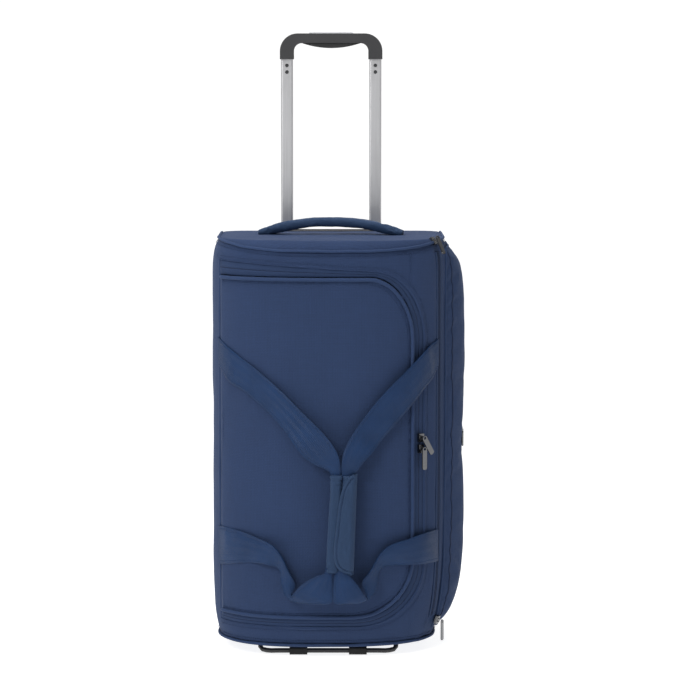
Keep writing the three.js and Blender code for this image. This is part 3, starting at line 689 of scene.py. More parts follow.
# ---- body panels


def top_seam(x):
    """The top seam's height: it dips over the crown and rises to the corners."""
    return 593.5 + 13.5 * np.clip(np.abs(x) / 168, 0, 1) ** 3.2


EDGES = (50, 80, 90, 70)  # points along the wrap's lower, right, upper and left edge
opening_runs = outline(OPENING, cells=EDGES[:3])
lower_left, upper_left = opening_runs[0][0], opening_runs[2][-1]
left_edge = np.linspace(upper_left, lower_left, EDGES[3] + 1)
inner_loop = np.vstack([joined(opening_runs)[:-1], left_edge[:-1]])
inner_loop = np.stack([angle_of(inner_loop[:, 0], inner_loop[:, 1]), inner_loop[:, 1]], -1)
A_LEFT, A_RIGHT = -SEAM_ANGLE + 0.003, math.pi + SEAM_ANGLE - 0.003
Z_LOW, Z_HIGH = BOTTOM_SEAM + 0.4, TOP_SEAM - 0.4


def edge_of_loop(start, end, count):
    return np.linspace(start, end, count + 1)[:-1]


corners = [(A_LEFT, Z_LOW), (A_RIGHT, Z_LOW), (A_RIGHT, Z_HIGH), (A_LEFT, Z_HIGH)]
edges = zip(corners, corners[1:] + corners[:1], EDGES)
outer_loop = np.vstack([edge_of_loop(*edge) for edge in edges])
# The upper edge follows the top seam, and the two sides stretch to meet it.
right_at, top_at, left_at = np.cumsum(EDGES[:3])
along_top = slice(top_at, left_at + 1)
outer_loop[along_top, 1] = top_seam(around(outer_loop[along_top, 0], 600.0)[:, 0]) - 0.4
outer_loop[left_at:, 1] = edge_of_loop(outer_loop[left_at, 1], Z_LOW, EDGES[3])
outer_loop[right_at:top_at, 1] = edge_of_loop(Z_LOW, outer_loop[top_at, 1], EDGES[1])
blend_rows = (0.5 - 0.5 * np.cos(np.linspace(0, math.pi, 44)))[:, None, None]
wrap_grid = inner_loop[None] * (1 - blend_rows) + outer_loop[None] * blend_rows
wrap_a, wrap_z = wrap_grid[..., 0], wrap_grid[..., 1]
wrap_points = around(wrap_a, wrap_z)
from_opening, from_seam = apart(wrap_points, 0), apart(wrap_points, -1)
off_groove = np.abs(wrap_points[..., 0] - groove_at(wrap_z))
from_groove = np.where(wrap_points[..., 1] < -30, off_groove, 99)
wrap_lift = (
    creases(wrap_points, 2.0) * np.clip(from_seam / 25, 0, 1)
    + pucker(wrap_points, from_seam, 4.0)
    + 1.5 * hump(from_opening, 3.2, 2.0)
    - 1.2 * hump(from_groove, 0, 4.0)
    + 0.9 * hump(from_groove, 7.5, 2.2)
    - 0.5
)
body = panel("body_wrap_cloth", wrap_a, wrap_z, wrap_lift, SHELL, close=True)

RING = (90, 18, 8, 24)  # points round the crown, along a side, round a rear corner and across the back


def ring_at(z):
    """The bag's outline from the left end of the crown to the right and round the back; z may vary."""
    front, straight, corner, rear = RING
    total = front + 2 * straight + 2 * corner + rear
    z = np.broadcast_to(np.asarray(z, float), (total,))
    drawn = tuck(z)
    width, back_y = HALF - drawn, BACK - 0.3 * drawn
    points = np.zeros((total, 3))
    points[:, 2] = z
    points[:front] = around(np.linspace(0, math.pi, front), z[:front])
    turn = np.linspace(0, math.pi / 2, corner + 1)[1:]
    i = front
    for k in range(straight):
        points[i + k, :2] = width[i + k], SIDE + (back_y[i + k] - CORNER - SIDE) * (k + 1) / straight
    i += straight
    for k in range(corner):
        c, s = math.cos(turn[k]), math.sin(turn[k])
        points[i + k, :2] = width[i + k] - CORNER * (1 - c), back_y[i + k] - CORNER * (1 - s)
    i += corner
    for k in range(rear):
        reach = width[i + k] - CORNER
        points[i + k, :2] = reach - 2 * reach * (k + 1) / (rear + 1), back_y[i + k]
    i += rear
    mirrored = points[front : front + straight + corner][::-1]
    fuller = (tuck(z[i:]) - tuck(z[i:], 1.0)) * ahead(mirrored[:, 1])
    points[i:, 0], points[i:, 1] = -mirrored[:, 0] - fuller, mirrored[:, 1]
    return points


back_rows = np.linspace(Z_LOW, 606.5, 90)
back_points = []
for height in back_rows:
    whole = ring_at(height)
    behind = whole[RING[0] :]
    behind = behind[behind[:, 1] > BACK_SEAM - 22]
    first, last = [[behind[i][0], BACK_SEAM + 0.4, height] for i in (0, -1)]
    behind = np.vstack([first, behind[behind[:, 1] > BACK_SEAM + 1], last])
    back_points.append(resample(behind, 70))
back_points = np.array(back_points)
outward = back_points - np.array([0, 60, 0])
outward[..., 2] = 0
outward = unit(outward)
to_edge = np.minimum.reduce(
    [
        apart(back_points, 0),
        apart(back_points, -1),
        np.linalg.norm(back_points - back_points[:, :1], axis=-1),
        np.linalg.norm(back_points - back_points[:, -1:], axis=-1),
    ]
)
back_lift = (
    0.5 * creases(back_points, 6.0) * np.clip(to_edge / 25, 0, 1)
    + pucker(back_points, to_edge, 7.0)
    - 0.7
)
back_points = back_points + outward * back_lift[..., None]
back = sheet_mesh("back_panel_cloth", back_points[:, ::-1], SHELL, flip=True)
face_out(back, (0, 1, 0))
back = thicken(back, 4.0, LINER)


def end_panel(name, edge_z, face_z, dome, seed, material):
    """A panel that closes one end: its rim follows the drawn-in sides, its face is slightly pillowed."""
    rows = [ring_at(edge_z + (face_z - edge_z) * k / 8) for k in range(9)]
    rim = rows[-1]
    centre = np.array([0, -5, face_z])
    for share in np.linspace(0, 1, 26)[1:-1]:
        inner = rim + (centre - rim) * share
        inner[:, 2] = face_z + dome * math.sin(min(1, share * 2.2) * math.pi / 2)
        rows.append(inner)
    grid = np.array(rows)
    distance = apart(grid, 0)
    outside = 1 if dome > 0 else -1
    give = 0.8 * ripple(grid, 60, seed) + 0.4 * ripple(grid, 24, seed + 3)
    grid[..., 2] += outside * give * np.clip((distance - 10) / 30, 0, 1)
    n, m, _ = grid.shape
    verts = np.vstack([grid.reshape(-1, 3), [[0, -5, face_z + dome + 0.2]]])
    hub = len(verts) - 1
    faces = grid_faces(n, m, close=True)
    faces += [((n - 1) * m + j, (n - 1) * m + (j + 1) % m, hub) for j in range(m)]
    obj = make(name, verts, faces, material, verts[:, :2] * 0.001)
    tidy(obj)
    face_out(obj, (0, 0, outside), len(faces) - 1)
    return thicken(obj, 3.5, LINER)


def prism(name, section, low, high, upright=False):
    """A block for cutting: a closed (y, z) section along x, or an upright one's (x, y) section along z."""
    m = len(section)
    if upright:
        verts = [(*point, z) for z in (low, high) for point in section]
    else:
        verts = [(x, *point) for x in (low, high) for point in section]
    faces = grid_faces(2, m, close=True) + [tuple(range(m)), tuple(range(m, 2 * m))[::-1]]
    obj = make(name, verts, faces, BLACK, smooth=False)
    tidy(obj)
    return obj


rim_x = ring_at(600.0)[:, 0]
rim_x[RING[0] :] = 168
top_panel = end_panel("top_panel_cloth", top_seam(rim_x) + 0.4, 608.4, 1.6, 11.0, SHELL)
bottom_panel = end_panel("bottom_panel_cloth", BOTTOM_SEAM - 0.4, 15.4, -0.4, 13.0, SHELL)
cup_hole = prism("cup_hole", rounded(194, 37, 8) + np.array([0, 123]), 560, 660, upright=True)
WHEEL_X, WHEEL_Y, WHEEL_Z, HOLE = 139, 125, 35, 42.3  # the wheels' middles and the holes' radius
half_turn = np.linspace(0, math.pi, 25)
housing_side = [(WHEEL_Y - HOLE, -10), (WHEEL_Y + HOLE, -10)]
housing_side += [(WHEEL_Y + HOLE * math.cos(t), WHEEL_Z + HOLE * math.sin(t)) for t in half_turn]
holes = [prism("housing_hole", housing_side, x - 18.3, x + 18.3) for x in (-WHEEL_X, WHEEL_X)]
for obj in (body, back, bottom_panel):
    cut(obj, *holes)
cut(top_panel, cup_hole)
for obj in [cup_hole, *holes]:
    bpy.data.objects.remove(obj)

for obj, node in (
    (body, "body_wrap"),
    (back, "back_panel"),
    (top_panel, "top_end_panel"),
    (bottom_panel, "bottom_end_panel"),
):
    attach(obj, "shell")
    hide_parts(node)


def seam_line(height, count, lift):
    """The run round the crown from side to side at one height, as in an edge seam."""
    a = np.linspace(-SEAM_ANGLE * 0.98, math.pi + SEAM_ANGLE * 0.98, count)
    z = np.full(count, float(height))
    if height > 500:
        z = z - TOP_SEAM + top_seam(around(a, 600.0)[:, 0])
    return skin(a, z, lift), normal_at(a, z)


def wavy(path, size, scale, seed):
    """A path that wanders a little, as a sewn cord does."""
    move = np.stack([ripple(path, scale, seed + k) for k in range(3)], -1)
    return path + size * move


for node, height in (("top_piping", TOP_SEAM), ("bottom_piping", BOTTOM_SEAM)):
    path, _ = seam_line(height, 240, 1.5)
    cord = sweep(node + "_cord", wavy(path, 0.45, 26, 3.0), circle(2.1, 12), PIPING)
    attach(cord, "shell")
    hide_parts(node)

seams = []
for height, drop in ((TOP_SEAM, -6.5), (BOTTOM_SEAM, 6.5)):
    path, normals = seam_line(height + drop, 300, 0.35)
    seams.append(strokes("seam", path, normals, THREAD))
welt = np.vstack([resample(run, 260) for run in outline(OPENING, 6.2)])
seams.append(strokes("seam", *laid(*welt.T, 0.7), THREAD))
z = np.linspace(85, 588, 200)
for a in (-SEAM_ANGLE + 0.045, math.pi + SEAM_ANGLE - 0.045):
    seams.append(strokes("seam", skin(a, z, 0.1), normal_at(a, z), THREAD))
for z0, z1 in ((540, 589), (27, 54)):
    seams.append(sweep("seam", on_crown(114.7, np.linspace(z0, z1, 30), -0.1), circle(0.45, 8), PIPING))
body_stitches = join("body_stitches", seams)
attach(body_stitches, "shell")

# ---- lid

low_run, right_run, top_run = outline(LID, -0.2, (74, 96, 74))
lid_left = np.linspace(low_run[0], top_run[-1], 97)


def coons(bottom, top, left, right):
    """A grid between four edges that meet in their corners, bottom and top from left to right."""
    n, m = len(left), len(bottom)
    v = np.linspace(0, 1, n)[:, None, None]
    u = np.linspace(0, 1, m)[None, :, None]
    ruled = (1 - v) * bottom[None] + v * top[None] + (1 - u) * left[:, None] + u * right[:, None]
    below = (1 - u) * (1 - v) * bottom[0] + u * (1 - v) * bottom[-1]
    return ruled - (below + (1 - u) * v * top[0] + u * v * top[-1])


lid_xz = coons(low_run, top_run[::-1], lid_left, right_run)
lid_a = angle_of(lid_xz[..., 0], lid_xz[..., 1])
lid_z = lid_xz[..., 1]
lid_flat = around(lid_a, lid_z)
rim_points = np.vstack([lid_flat[0], lid_flat[-1], lid_flat[:, -1]])
lid_rim = nearest(lid_flat, rim_points[::3])
hinge_rim = np.linalg.norm(lid_flat - lid_flat[:, :1], axis=-1)
lid_lift = (
    0.4
    + 1.6 * (1 - np.exp(-lid_rim / 14)) * (1 - np.exp(-hinge_rim / 10))
    + creases(lid_flat, 21.0) * np.clip(np.minimum(lid_rim, hinge_rim) / 30, 0, 1) * 0.9
    + 0.35 * ripple(lid_flat, 8, 25) * np.exp(-lid_rim / 12)
    - 1.5 * hump(lid_rim, 6.6, 1.3) * (1 - np.exp(-hinge_rim / 6))
    - 0.8 * hump(hinge_rim, 0, 2.0)
    + 0.7 * hump(hinge_rim, 5.5, 2.5)
)
lid = panel("lid_cloth", lid_a, lid_z, lid_lift, SHELL, thick=4.4)
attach(lid, "lid")
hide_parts("lid_panel")

lid_edge = joined(outline(LID, -2.6, (90, 130, 90)))
lid_edge = lid_edge[lid_edge[:, 0] > HINGE_X + 2]
edge_path = on_crown(*lid_edge.T, 1.9)
cord = sweep("lid_piping_cord", wavy(edge_path, 0.3, 24, 9.0), circle(2.8, 14), PIPING)
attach(cord, "lid")
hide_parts("lid_piping")

stitch_run = joined(outline(LID, -8.5, (120, 160, 120)))
stitch_run = stitch_run[stitch_run[:, 0] > HINGE_X + 3]
edge_seam = strokes("seam", *laid(*stitch_run.T, 1.35), THREAD)
hinge_seam = strokes("seam", *laid(HINGE_X + 6.0, np.linspace(64, 552, 240), 1.35), THREAD)
lid_stitches = join("lid_stitches", [edge_seam, hinge_seam])
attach(lid_stitches, "lid")

# ---- zips


def band_between(inner, outer, lift):
    """A band of skin between two lines of (x, z) points: its angles, heights and lifts, one lift a row."""
    t = np.linspace(0, 1, len(lift))[:, None, None]
    grid = inner[None] * (1 - t) + outer[None] * t
    a = angle_of(grid[..., 0], grid[..., 1])
    return a, grid[..., 1], np.broadcast_to(np.asarray(lift, float)[:, None], a.shape)


def zip_coil(name, rows, starts, lift, length, radius):
    """Two rows of teeth on lines of (x, z) points; starts puts one row's teeth between the other's."""
    parts = []
    for row, start in zip(rows, starts):
        path, normals = laid(*row.T, lift)
        parts.append(strokes("teeth", path[start:], normals[start:], COIL, 1.7, length, radius, across=True))
    return join(name, parts)


cells = (110, 170, 110)
lid_side, body_side = joined(outline(LID, 0.8, cells)), joined(outline(OPENING, 0.5, cells))
half_lifts = [-1.2, -0.7, -0.5, -0.4, -0.3, -0.2]
band = band_between(lid_side, body_side, [*half_lifts, -1.0, *half_lifts[::-1]])
for rows in band[:2]:
    rows[5:8] = rows[6] + (rows[5:8] - rows[6]) * 0.45  # the groove under the teeth is narrow
tape = panel("lid_zip_band", *band, TAPE, thick=1.0, lining=TAPE)
middle = (lid_side + body_side) / 2
outwards = unit(body_side - lid_side)
rows = [middle + outwards * offset for offset in (-0.55, 0.55)]
coil = zip_coil("lid_zip_coil", rows, (2, 3), -0.75, 2.2, 0.55)
for obj in (tape, coil):
    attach(obj, "shell")
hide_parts("lid_zip_tape")

groove_z = np.linspace(52, 590, 260)
groove_run = groove_at(groove_z)
strips = np.array([angle_of(groove_run + offset, groove_z) for offset in np.linspace(-4.6, 4.6, 7)])
heights = np.broadcast_to(groove_z, strips.shape)
dip = np.array([0.5, 0.1, -0.3, -0.4, -0.3, 0.1, 0.5])[:, None] * np.ones_like(strips)
pocket_tape = panel("pocket_zip_band", strips, heights, dip - 0.2, TAPE, thick=1.0, lining=TAPE)
rows = [np.stack([groove_run + offset, groove_z], -1) for offset in (-0.9, 0.9)]
pocket_coil = zip_coil("pocket_zip_coil", rows, (0, 1), -0.3, 2.0, 0.5)
for obj in (pocket_tape, pocket_coil):
    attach(obj, "shell")
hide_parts("pocket_zip_tape")

# ---- side pocket

POCKET_Y, POCKET_Z = 10, 314  # its middle


def side_x(y, z):
    width = HALF - tuck(z)
    depth = SIDE - FRONT - tuck(z)
    share = np.clip((SIDE - y) / depth, 0, 1) ** POWER
    return np.where(y >= SIDE, width, width * (1 - share) ** (1 / POWER))


up = -np.cos(np.linspace(0, math.pi, 130))
over = -np.cos(np.linspace(0, math.pi, 60))
OVER, UP = np.meshgrid(over, up)
pocket_y = POCKET_Y + 86 * OVER
pocket_z = POCKET_Z + 280 * UP
rise = (1 - np.abs(UP) ** 9) ** 0.8 * (1 - np.abs(OVER) ** 4) ** 0.7
pocket_x = side_x(pocket_y, pocket_z) + 19.2 * rise
pocket_points = np.stack([pocket_x, pocket_y, pocket_z], -1)
slack = 1.1 * creases(pocket_points, 31.0) * np.clip(rise * 1.5, 0, 1)
slack += 0.7 * ripple(pocket_points * np.array([1, 0.5, 1]), 13, 34) * (rise * (1 - rise)) * 2.4
pocket_points[..., 0] += np.minimum(slack, 1.4) - 0.2
pocket = sheet_mesh("side_pocket_cloth", pocket_points, SHELL)
face_out(pocket, (1, 0, 0))
badge_low, badge_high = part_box("badge_plate")
badge = np.array([(badge_low[k] + badge_high[k]) * 500 for k in (1, 2)]) - ORIGIN[1:]
from_badge = np.linalg.norm(pocket_points[..., 1:] - badge, axis=-1)
pocket_held = np.zeros(pocket_y.shape, bool)
pocket_held[:2] = pocket_held[-2:] = pocket_held[:, :2] = pocket_held[:, -2:] = True
off_badge = 1 - hump(from_badge, 0, 45)
pocket = fill_out(pocket, 4.5, pocket_held.ravel(), share=off_badge.ravel())
filled = points_of(pocket).reshape(pocket_points.shape)
GUSSET = 9  # the column of the pocket's grid that the gusset's seam runs along
gusset_line = filled[8:-8, GUSSET] + np.array([0.3, -0.15, 0])
pocket = thicken(pocket, 2.6, LINER)
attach(pocket, "shell")
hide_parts("side_pocket")
t = np.linspace(0, 2 * math.pi, 320, endpoint=False)
rim_y = POCKET_Y + 87.4 * np.sign(np.cos(t)) * np.abs(np.cos(t)) ** 0.22
rim_z = POCKET_Z + 281.5 * np.sign(np.sin(t)) * np.abs(np.sin(t)) ** 0.12
rim_path = np.stack([side_x(rim_y, rim_z) + 1.2, rim_y, rim_z], -1)
rim_path = wavy(rim_path, 0.3, 22, 4.0)
pocket_cord = sweep("rim", rim_path, circle(1.7, 10), PIPING, up=(1, 0, 0), closed=True)
gusset_seam = sweep("gusset_seam", gusset_line, circle(0.7, 8), COIL, up=(1, 0, 0))
pocket_cord = join("pocket_piping_cord", [pocket_cord, gusset_seam])
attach(pocket_cord, "shell")

# ---- carry handles

# Each webbing loop by its two edges, from the upper anchor through the wrap to the lower anchor.
# One row is (x, z, y) of the upper edge and of the lower one; y > 0 is a stand-off from the skin.
LEFT_LOOP = [
    (-163, 465, 1.4, -163, 425, 1.4), (-152, 457, 2.5, -153, 412, 2.5), (-134, 444, 4, -143, 401, 4),
    (-106, 424.5, 6, -121, 389, 5), (-70.6, 395, 10, -96, 369, 7), (-36, 361, 16, -66, 338.6, 10),
    (-13, 337, -180, -51, 318, 17), (2, 319, -184, -41, 302, -177), (10.5, 304, -186, -26, 291, -181),
    (13.6, 291, -186, -10, 284.5, -182), (14.3, 280, -184, -1, 278, -181), (13.5, 266, -182, 0, 266, -181),
    (11.5, 203, -182, -3, 203, -182), (8, 150, -182, -6.5, 150, -182), (2.5, 133, -183, -9.5, 133, -183),
    (2.6, 117, -187, -20, 129, -186), (2.8, 103, -189, -32, 123.5, -187),
    (2.2, 92.5, -189, -42, 116.5, -186),
    (-3, 88.6, -188, -47.5, 111, -185), (-12, 88, -186, -51, 106.5, -183), (-27, 87.6, -182, -55, 101, -181),
    (-44, 87.6, -176, -57, 98.5, -176),
    (-59, 90.5, -170, -55.5, 101, -170), (-68.5, 100, -165, -50.5, 110.5, -169),
    (-71.5, 112, -162, -53.5, 120, -171), (-72.5, 126, -161, -61.5, 134, -174),
    (-76, 136, -159, -70, 152, -173), (-92, 141, -157, -82, 168, -167), (-110, 141, 4, -101, 178, 8),
    (-130, 138, 3, -126, 185, 5), (-150, 133, 2, -150, 187.5, 2), (-163, 129, 1.4, -163, 187, 1.4),
]
RIGHT_LOOP = [
    (155, 463, 1.4, 155, 424, 1.4), (146, 457, 2.2, 149, 414, 2.2), (134.5, 450.6, 8, 141, 404, 5),
    (118.7, 436, 12, 128, 390, 8), (92.8, 410, 13, 112, 371, 9), (69.6, 386, 14, 93, 349, 10),
    (39.6, 348, 18, 70, 322, 12), (26, 324.5, -182, 56, 305, 19), (18, 306, -186, 46, 292, -181),
    (15.6, 291, -186, 40, 283, -183), (15.4, 280, -184, 36.5, 278, -182), (17, 266, -182, 34, 266, -182),
    (16, 203, -182, 32, 203, -182), (12, 150, -182, 28, 150, -182), (5.5, 133, -183, 27, 132, -183),
    (4.0, 117, -187, 33, 122.5, -186), (3.6, 103, -189, 39.5, 115, -187), (4.2, 92.5, -189, 44.5, 107, -186),
    (9, 88.6, -188, 47.5, 102.5, -185), (17, 88, -186, 50, 99, -183), (29, 87.6, -182, 52, 96, -181),
    (41, 87.6, -176, 53, 95, -176),
    (53, 90.5, -170, 51, 99, -170), (62.5, 99, -165, 45.5, 109.5, -169),
    (67.5, 112, -162, 45.5, 119.5, -171), (69.5, 126, -161, 54.5, 130, -174),
    (75, 136, -159, 63, 143, -173), (90, 138.5, 4, 71, 157, -170), (106, 139, 9, 84, 169, -164),
    (122, 138, 10, 106, 177, 12), (143, 137, 5, 136, 183, 7), (155, 136, 1.4, 155, 183, 1.4),
]


def loop(name, rows, count=420, across=13):
    """A webbing loop between two edge lines, with the gentle bow and waviness of stiff webbing."""
    stations = []
    for row in rows:
        ends = []
        for x, z, y in (row[:3], row[3:]):
            ends.append(np.array([x, y, z]) if y < 0 else on_crown(x, z, y))
        stations.append(np.concatenate([(ends[0] + ends[1]) / 2, (ends[0] - ends[1]) / 2]))
    line = smooth_path(stations, count)
    middle, half = line[:, :3], line[:, 3:]
    face = unit(np.cross(np.gradient(middle, axis=0), half))
    if face[3][1] > 0:
        face = -face
    for _ in range(3):
        face = unit((np.vstack([face[:1], face[:-1]]) + face + np.vstack([face[1:], face[-1:]])) / 3)
    u = np.linspace(-1, 1, across)
    along = distance_along(middle)
    points = middle[:, None] + half[:, None] * u[None, :, None]
    settled = np.clip(np.minimum(along, along[-1] - along) / 30, 0.15, 1)[:, None]
    bow = 1.1 + settled * (1.5 * (1 - u[None] ** 2) - 0.5 + 0.9 * ripple(points, 30, len(name)))
    points = points + face[:, None] * bow[..., None]
    uv = np.stack(np.broadcast_arrays(u[None] * WEBBING_HALF, along[:, None]), -1).reshape(-1, 2) * 0.001
    obj = make(name, points.reshape(-1, 3), grid_faces(count, across), WEBBING, uv)
    face_out(obj, face[3], 3 * (across - 1) + across // 2)
    thicken(obj, 2.2)
    modifier(obj, "BEVEL", width=0.0007, segments=2, limit_method="ANGLE", angle_limit=math.radians(50))
    settle(obj)
    lines = []
    for at in (1, across - 2):
        path, facing = points[3:-3, at] + face[3:-3] * 0.12, face[3:-3]
        lines.append(strokes("edge_thread", path, facing, THREAD, pitch=3.6, length=2.4, radius=0.3))
    return obj, lines


left, left_lines = loop("left_strap_webbing", LEFT_LOOP)
left_stitches = join("left_strap_stitches", left_lines)
right, right_lines = loop("right_strap_webbing", RIGHT_LOOP)
right_stitches = join("right_strap_stitches", right_lines)
for obj in (left, left_stitches):
    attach(obj, "lid")
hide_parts("left_strap")
for obj in (right, right_stitches):
    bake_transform(obj)
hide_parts("right_strap")

WRAP_LEAN, WRAP_Y, WRAP_Z = 0.045, -182.0, 203


def sleeve(name, x, width, depth, low, high, seed):
    """A padded sleeve round the folded webbing, leaning a little, with crumpled hems at its ends."""

    def middle_at(z):
        return np.stack([x + (z - WRAP_Z) * WRAP_LEAN, np.full(len(z), WRAP_Y), z], -1)

    heights = np.linspace(low, high, 90)
    ends = np.minimum(heights - low, high - heights)
    swell = 1 - 0.1 * hump(ends, 7.5, 2.2) - 0.14 * hump(ends, 0, 1.5)
    section = rounded(width, depth, depth / 2 - 0.6, 7)
    obj = sweep(name, middle_at(heights), section, PADDED, up=(0, -1, 0), scale=swell[:, None])
    co = points_of(obj)
    hem = np.exp(-np.repeat(ends, len(section)) / 7)
    outward = co - middle_at(co[:, 2])
    outward /= np.maximum(np.linalg.norm(outward, axis=1, keepdims=True), 1e-6)
    move = 0.5 * ripple(co, 18, seed) + 1.1 * hem * ripple(co, 5.5, seed + 2)
    co = co + outward * move[:, None]
    move_to(obj, co)
    fill_out(obj, 1.3, np.repeat(ends, len(section)) < 4, pressure=3.0)
    modifier(obj, "SUBSURF", levels=1, render_levels=1)
    return settle(obj)


left_sleeve = sleeve("left_sleeve_pad", 5.2, 18, 13, 133, 275, 41)
right_sleeve = sleeve("right_sleeve_pad", 24.2, 20, 14, 135, 274, 44)
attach(left_sleeve, "lid")
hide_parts("left_grip_sleeve")
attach(right_sleeve, "right_carry_strap")
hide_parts("handle_wrap")

# The flap's free edge in (x, z), and the straight edge where it is sewn to the right sleeve.
FLAP_EDGE = [
    (37, 276.5), (30, 275), (24, 269), (17.6, 258), (11.8, 235), (7.5, 198),
    (4.4, 170), (5.2, 152), (10, 141), (17, 135.5), (25, 132.5), (31, 132.5),
]
FLAP_Y = -190.6
flap_edge = smooth_path([(x, 0.0, z) for x, z in FLAP_EDGE], 120)
flap_hinge = flap_edge.copy()
flap_hinge[:, 0] = np.linspace(38.4, 32.4, len(flap_edge))
flap_grid = np.array([flap_edge + (flap_hinge - flap_edge) * share for share in np.linspace(0, 1, 30)])
edge_away = nearest(flap_grid, flap_grid[0])
depth = 1.5 * np.exp(-edge_away / 1.2) - 1.6 * (1 - np.exp(-np.maximum(edge_away - 4.5, 0) / 3))
depth += 0.9 * hump(edge_away, 4.4, 0.8)
depth += 7.0 * np.clip(1 - (flap_hinge[None, :, 0] - flap_grid[..., 0]) / 8, 0, 1) ** 2
depth += 0.6 * ripple(flap_grid, 20, 51) + 0.35 * ripple(flap_grid * np.array([1, 1, 0.4]), 6, 53)
flap_grid[..., 1] = FLAP_Y + depth
flap = sheet_mesh("wrap_flap_pad", flap_grid, PADDED)
face_out(flap, (0, -1, 0))
thicken(flap, 2.0)
along_edge = unit(np.gradient(flap_edge, axis=0))
flap_path = flap_edge + np.stack([-along_edge[:, 2], along_edge[:, 1], along_edge[:, 0]], -1) * 4.4
flap_path = flap_path[6:-6]
flap_path[:, 1] = FLAP_Y
facing = np.tile([0, -1.0, 0], (len(flap_path), 1))
flap_thread = strokes("flap_stitches", flap_path, facing, THREAD, pitch=3.0, length=2.1)
for obj in (flap, flap_thread):
    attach(obj, "flap")
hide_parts("wrap_flap")

# ---- top handle

share = np.linspace(-1, 1, 110)
arch = np.maximum(0, 1 - np.abs(share) ** 2.2) ** 1.3
arch_path = np.stack([108 * share, 6 - 10 * share, 612.4 + 14.8 * arch], -1)
fullness = 1 - 0.45 * np.abs(share) ** 8
top_handle = sweep(
    "top_handle_pad",
    arch_path,
    rounded(31, 13.4, 6.2, 7),
    PADDED,
    up=(0, 0, 1),
    scale=np.stack([1 - 0.05 * np.abs(share) ** 6, fullness], -1),
)
co = points_of(top_handle)
co[:, 2] += 0.5 * ripple(co, 22, 61) + 0.25 * ripple(co, 8, 63)
co[:, 1] += 0.5 * ripple(co, 30, 66)
move_to(top_handle, co)
fill_out(top_handle, 1.6, np.abs(co[:, 0]) > 99, pressure=3.0)
modifier(top_handle, "SUBSURF", levels=1, render_levels=1)
settle(top_handle)
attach(top_handle, "shell")
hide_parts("top_handle")

# ---- hard parts keep their CAD shape


def dress(material, slot, bevel, *nodes):
    """Gives CAD nodes a material, and rounds their edges by bevel mm."""
    for node in nodes:
        obj = frame["nodes"][node]
        obj.data.materials.clear()
        obj.data.materials.append(material)
        if bevel:
            edges = dict(limit_method="ANGLE", angle_limit=math.radians(32), use_clamp_overlap=True)
            modifier(obj, "DECIMATE", decimate_type="DISSOLVE", angle_limit=math.radians(1))
            modifier(obj, "BEVEL", width=bevel * 0.001, segments=3, **edges)


def pair(name):
    return [name + "_left", name + "_right"]


def zip_ends(kind):
    places = ("lid_{}_upper", "lid_{}_lower", "pocket_{}_bottom", "pocket_{}_top")
    return [place.format(kind) for place in places]


screws = [name + end for name in pair("tube_screw") for end in ("_1", "_2")]
dress(ALUMINIUM, "tube_metal", 0, *pair("inner_tube"), *pair("outer_tube"))
dress(BLACK, "black_plastic", 1.2, "trolley_grip")
dress(BLACK, "black_plastic", 0.8, "tube_base_bracket", "foot_bar")
dress(BLACK, "black_plastic", 0.8, *pair("skid_rail"), *pair("wheel_housing"))
dress(BLACK, "black_plastic", 0, *pair("lock_block"), "base_plate")
dress(GREY, "grey_plastic", 1.0, "trolley_bezel")
dress(GREY, "grey_plastic", 0, *pair("wheel_hub"))
dress(RUBBER, "rubber", 0, *pair("wheel_tyre"), *pair("foot_sleeve"), "grip_pad")
dress(BUTTON, "button_plastic", 0.8, "release_button")
dress(STEEL, "steel", 0.4, *zip_ends("slider"))
dress(STEEL, "steel", 0.5, *zip_ends("puller"))
dress(STEEL, "steel", 0, *screws, *pair("release_rod"), *pair("lock_pin"), *pair("wheel_axle"))
dress(STEEL, "steel", 0.5, "badge_plate")
dress(LINER, "lining", 0, "inner_divider")

# ---- floor, light and camera

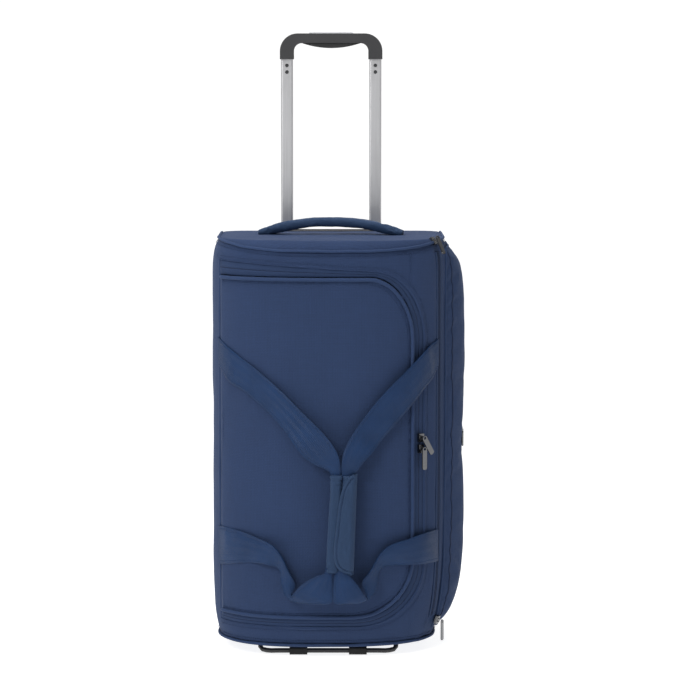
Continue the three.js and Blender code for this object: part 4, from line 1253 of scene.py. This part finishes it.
scene = bpy.context.scene
floor_mesh = bpy.data.meshes.new("floor")
floor_mesh.from_pydata([(-9, -6, 0), (9, -6, 0), (9, 12, 0), (-9, 12, 0)], [], [(0, 1, 2, 3)])
floor = placed("floor", floor_mesh)
floor_white = Paint("floor_white", (0.5, 0.5, 0.5), 0.9, Emission_Color=(1, 1, 1, 1), Emission_Strength=0.86)
floor_white.shade(floor_white.noise(False, 1.5), 0.99, 1.01)
floor_mesh.materials.append(floor_white.material)

# A studio that is brightest behind the bag, where the camera sees it as a white backdrop.
background = bpy.data.worlds.new("studio")
background.use_nodes = True
tree = background.node_tree
direction = tree.nodes.new("ShaderNodeTexCoord")
split = tree.nodes.new("ShaderNodeSeparateXYZ")
spread = tree.nodes.new("ShaderNodeMapRange")
for key, value in {"From Min": 0.55, "From Max": 0.9, "To Min": 0.3, "To Max": 1.06}.items():
    spread.inputs[key].default_value = value
tree.links.new(direction.outputs["Generated"], split.inputs[0])
tree.links.new(split.outputs["Y"], spread.inputs["Value"])
tree.nodes["Background"].inputs["Color"].default_value = (1, 1, 1, 1)
tree.links.new(spread.outputs["Result"], tree.nodes["Background"].inputs["Strength"])
scene.world = background


def lamp(name, place, aim, size, power):
    data = bpy.data.lights.new(name, "AREA")
    data.shape = "RECTANGLE"
    data.size, data.size_y = size
    data.energy = power
    obj = placed(name, data)
    obj.location = place
    obj.rotation_euler = (Vector(aim) - Vector(place)).to_track_quat("-Z", "Y").to_euler()


lamp("overhead", (-0.2, -0.2, 2.5), (0, 0, 0.4), (2.2, 1.6), 46)
lamp("left_front", (-1.4, -2.0, 2.0), (0, 0, 0.45), (1.2, 1.2), 46)

CAMERA, CAMERA_DOWN, LENS = (9.7, -4000, 821), 4.52, 143.4  # in mm and degrees
camera_data = bpy.data.cameras.new("camera")
camera_data.sensor_width = 36
camera_data.lens = LENS
camera_data.shift_y = -0.0475
camera = placed("camera", camera_data)
camera.location = world(CAMERA)
camera.rotation_euler = (math.radians(90 - CAMERA_DOWN), 0, 0)
scene.camera = camera
scene.view_settings.view_transform = "Standard"
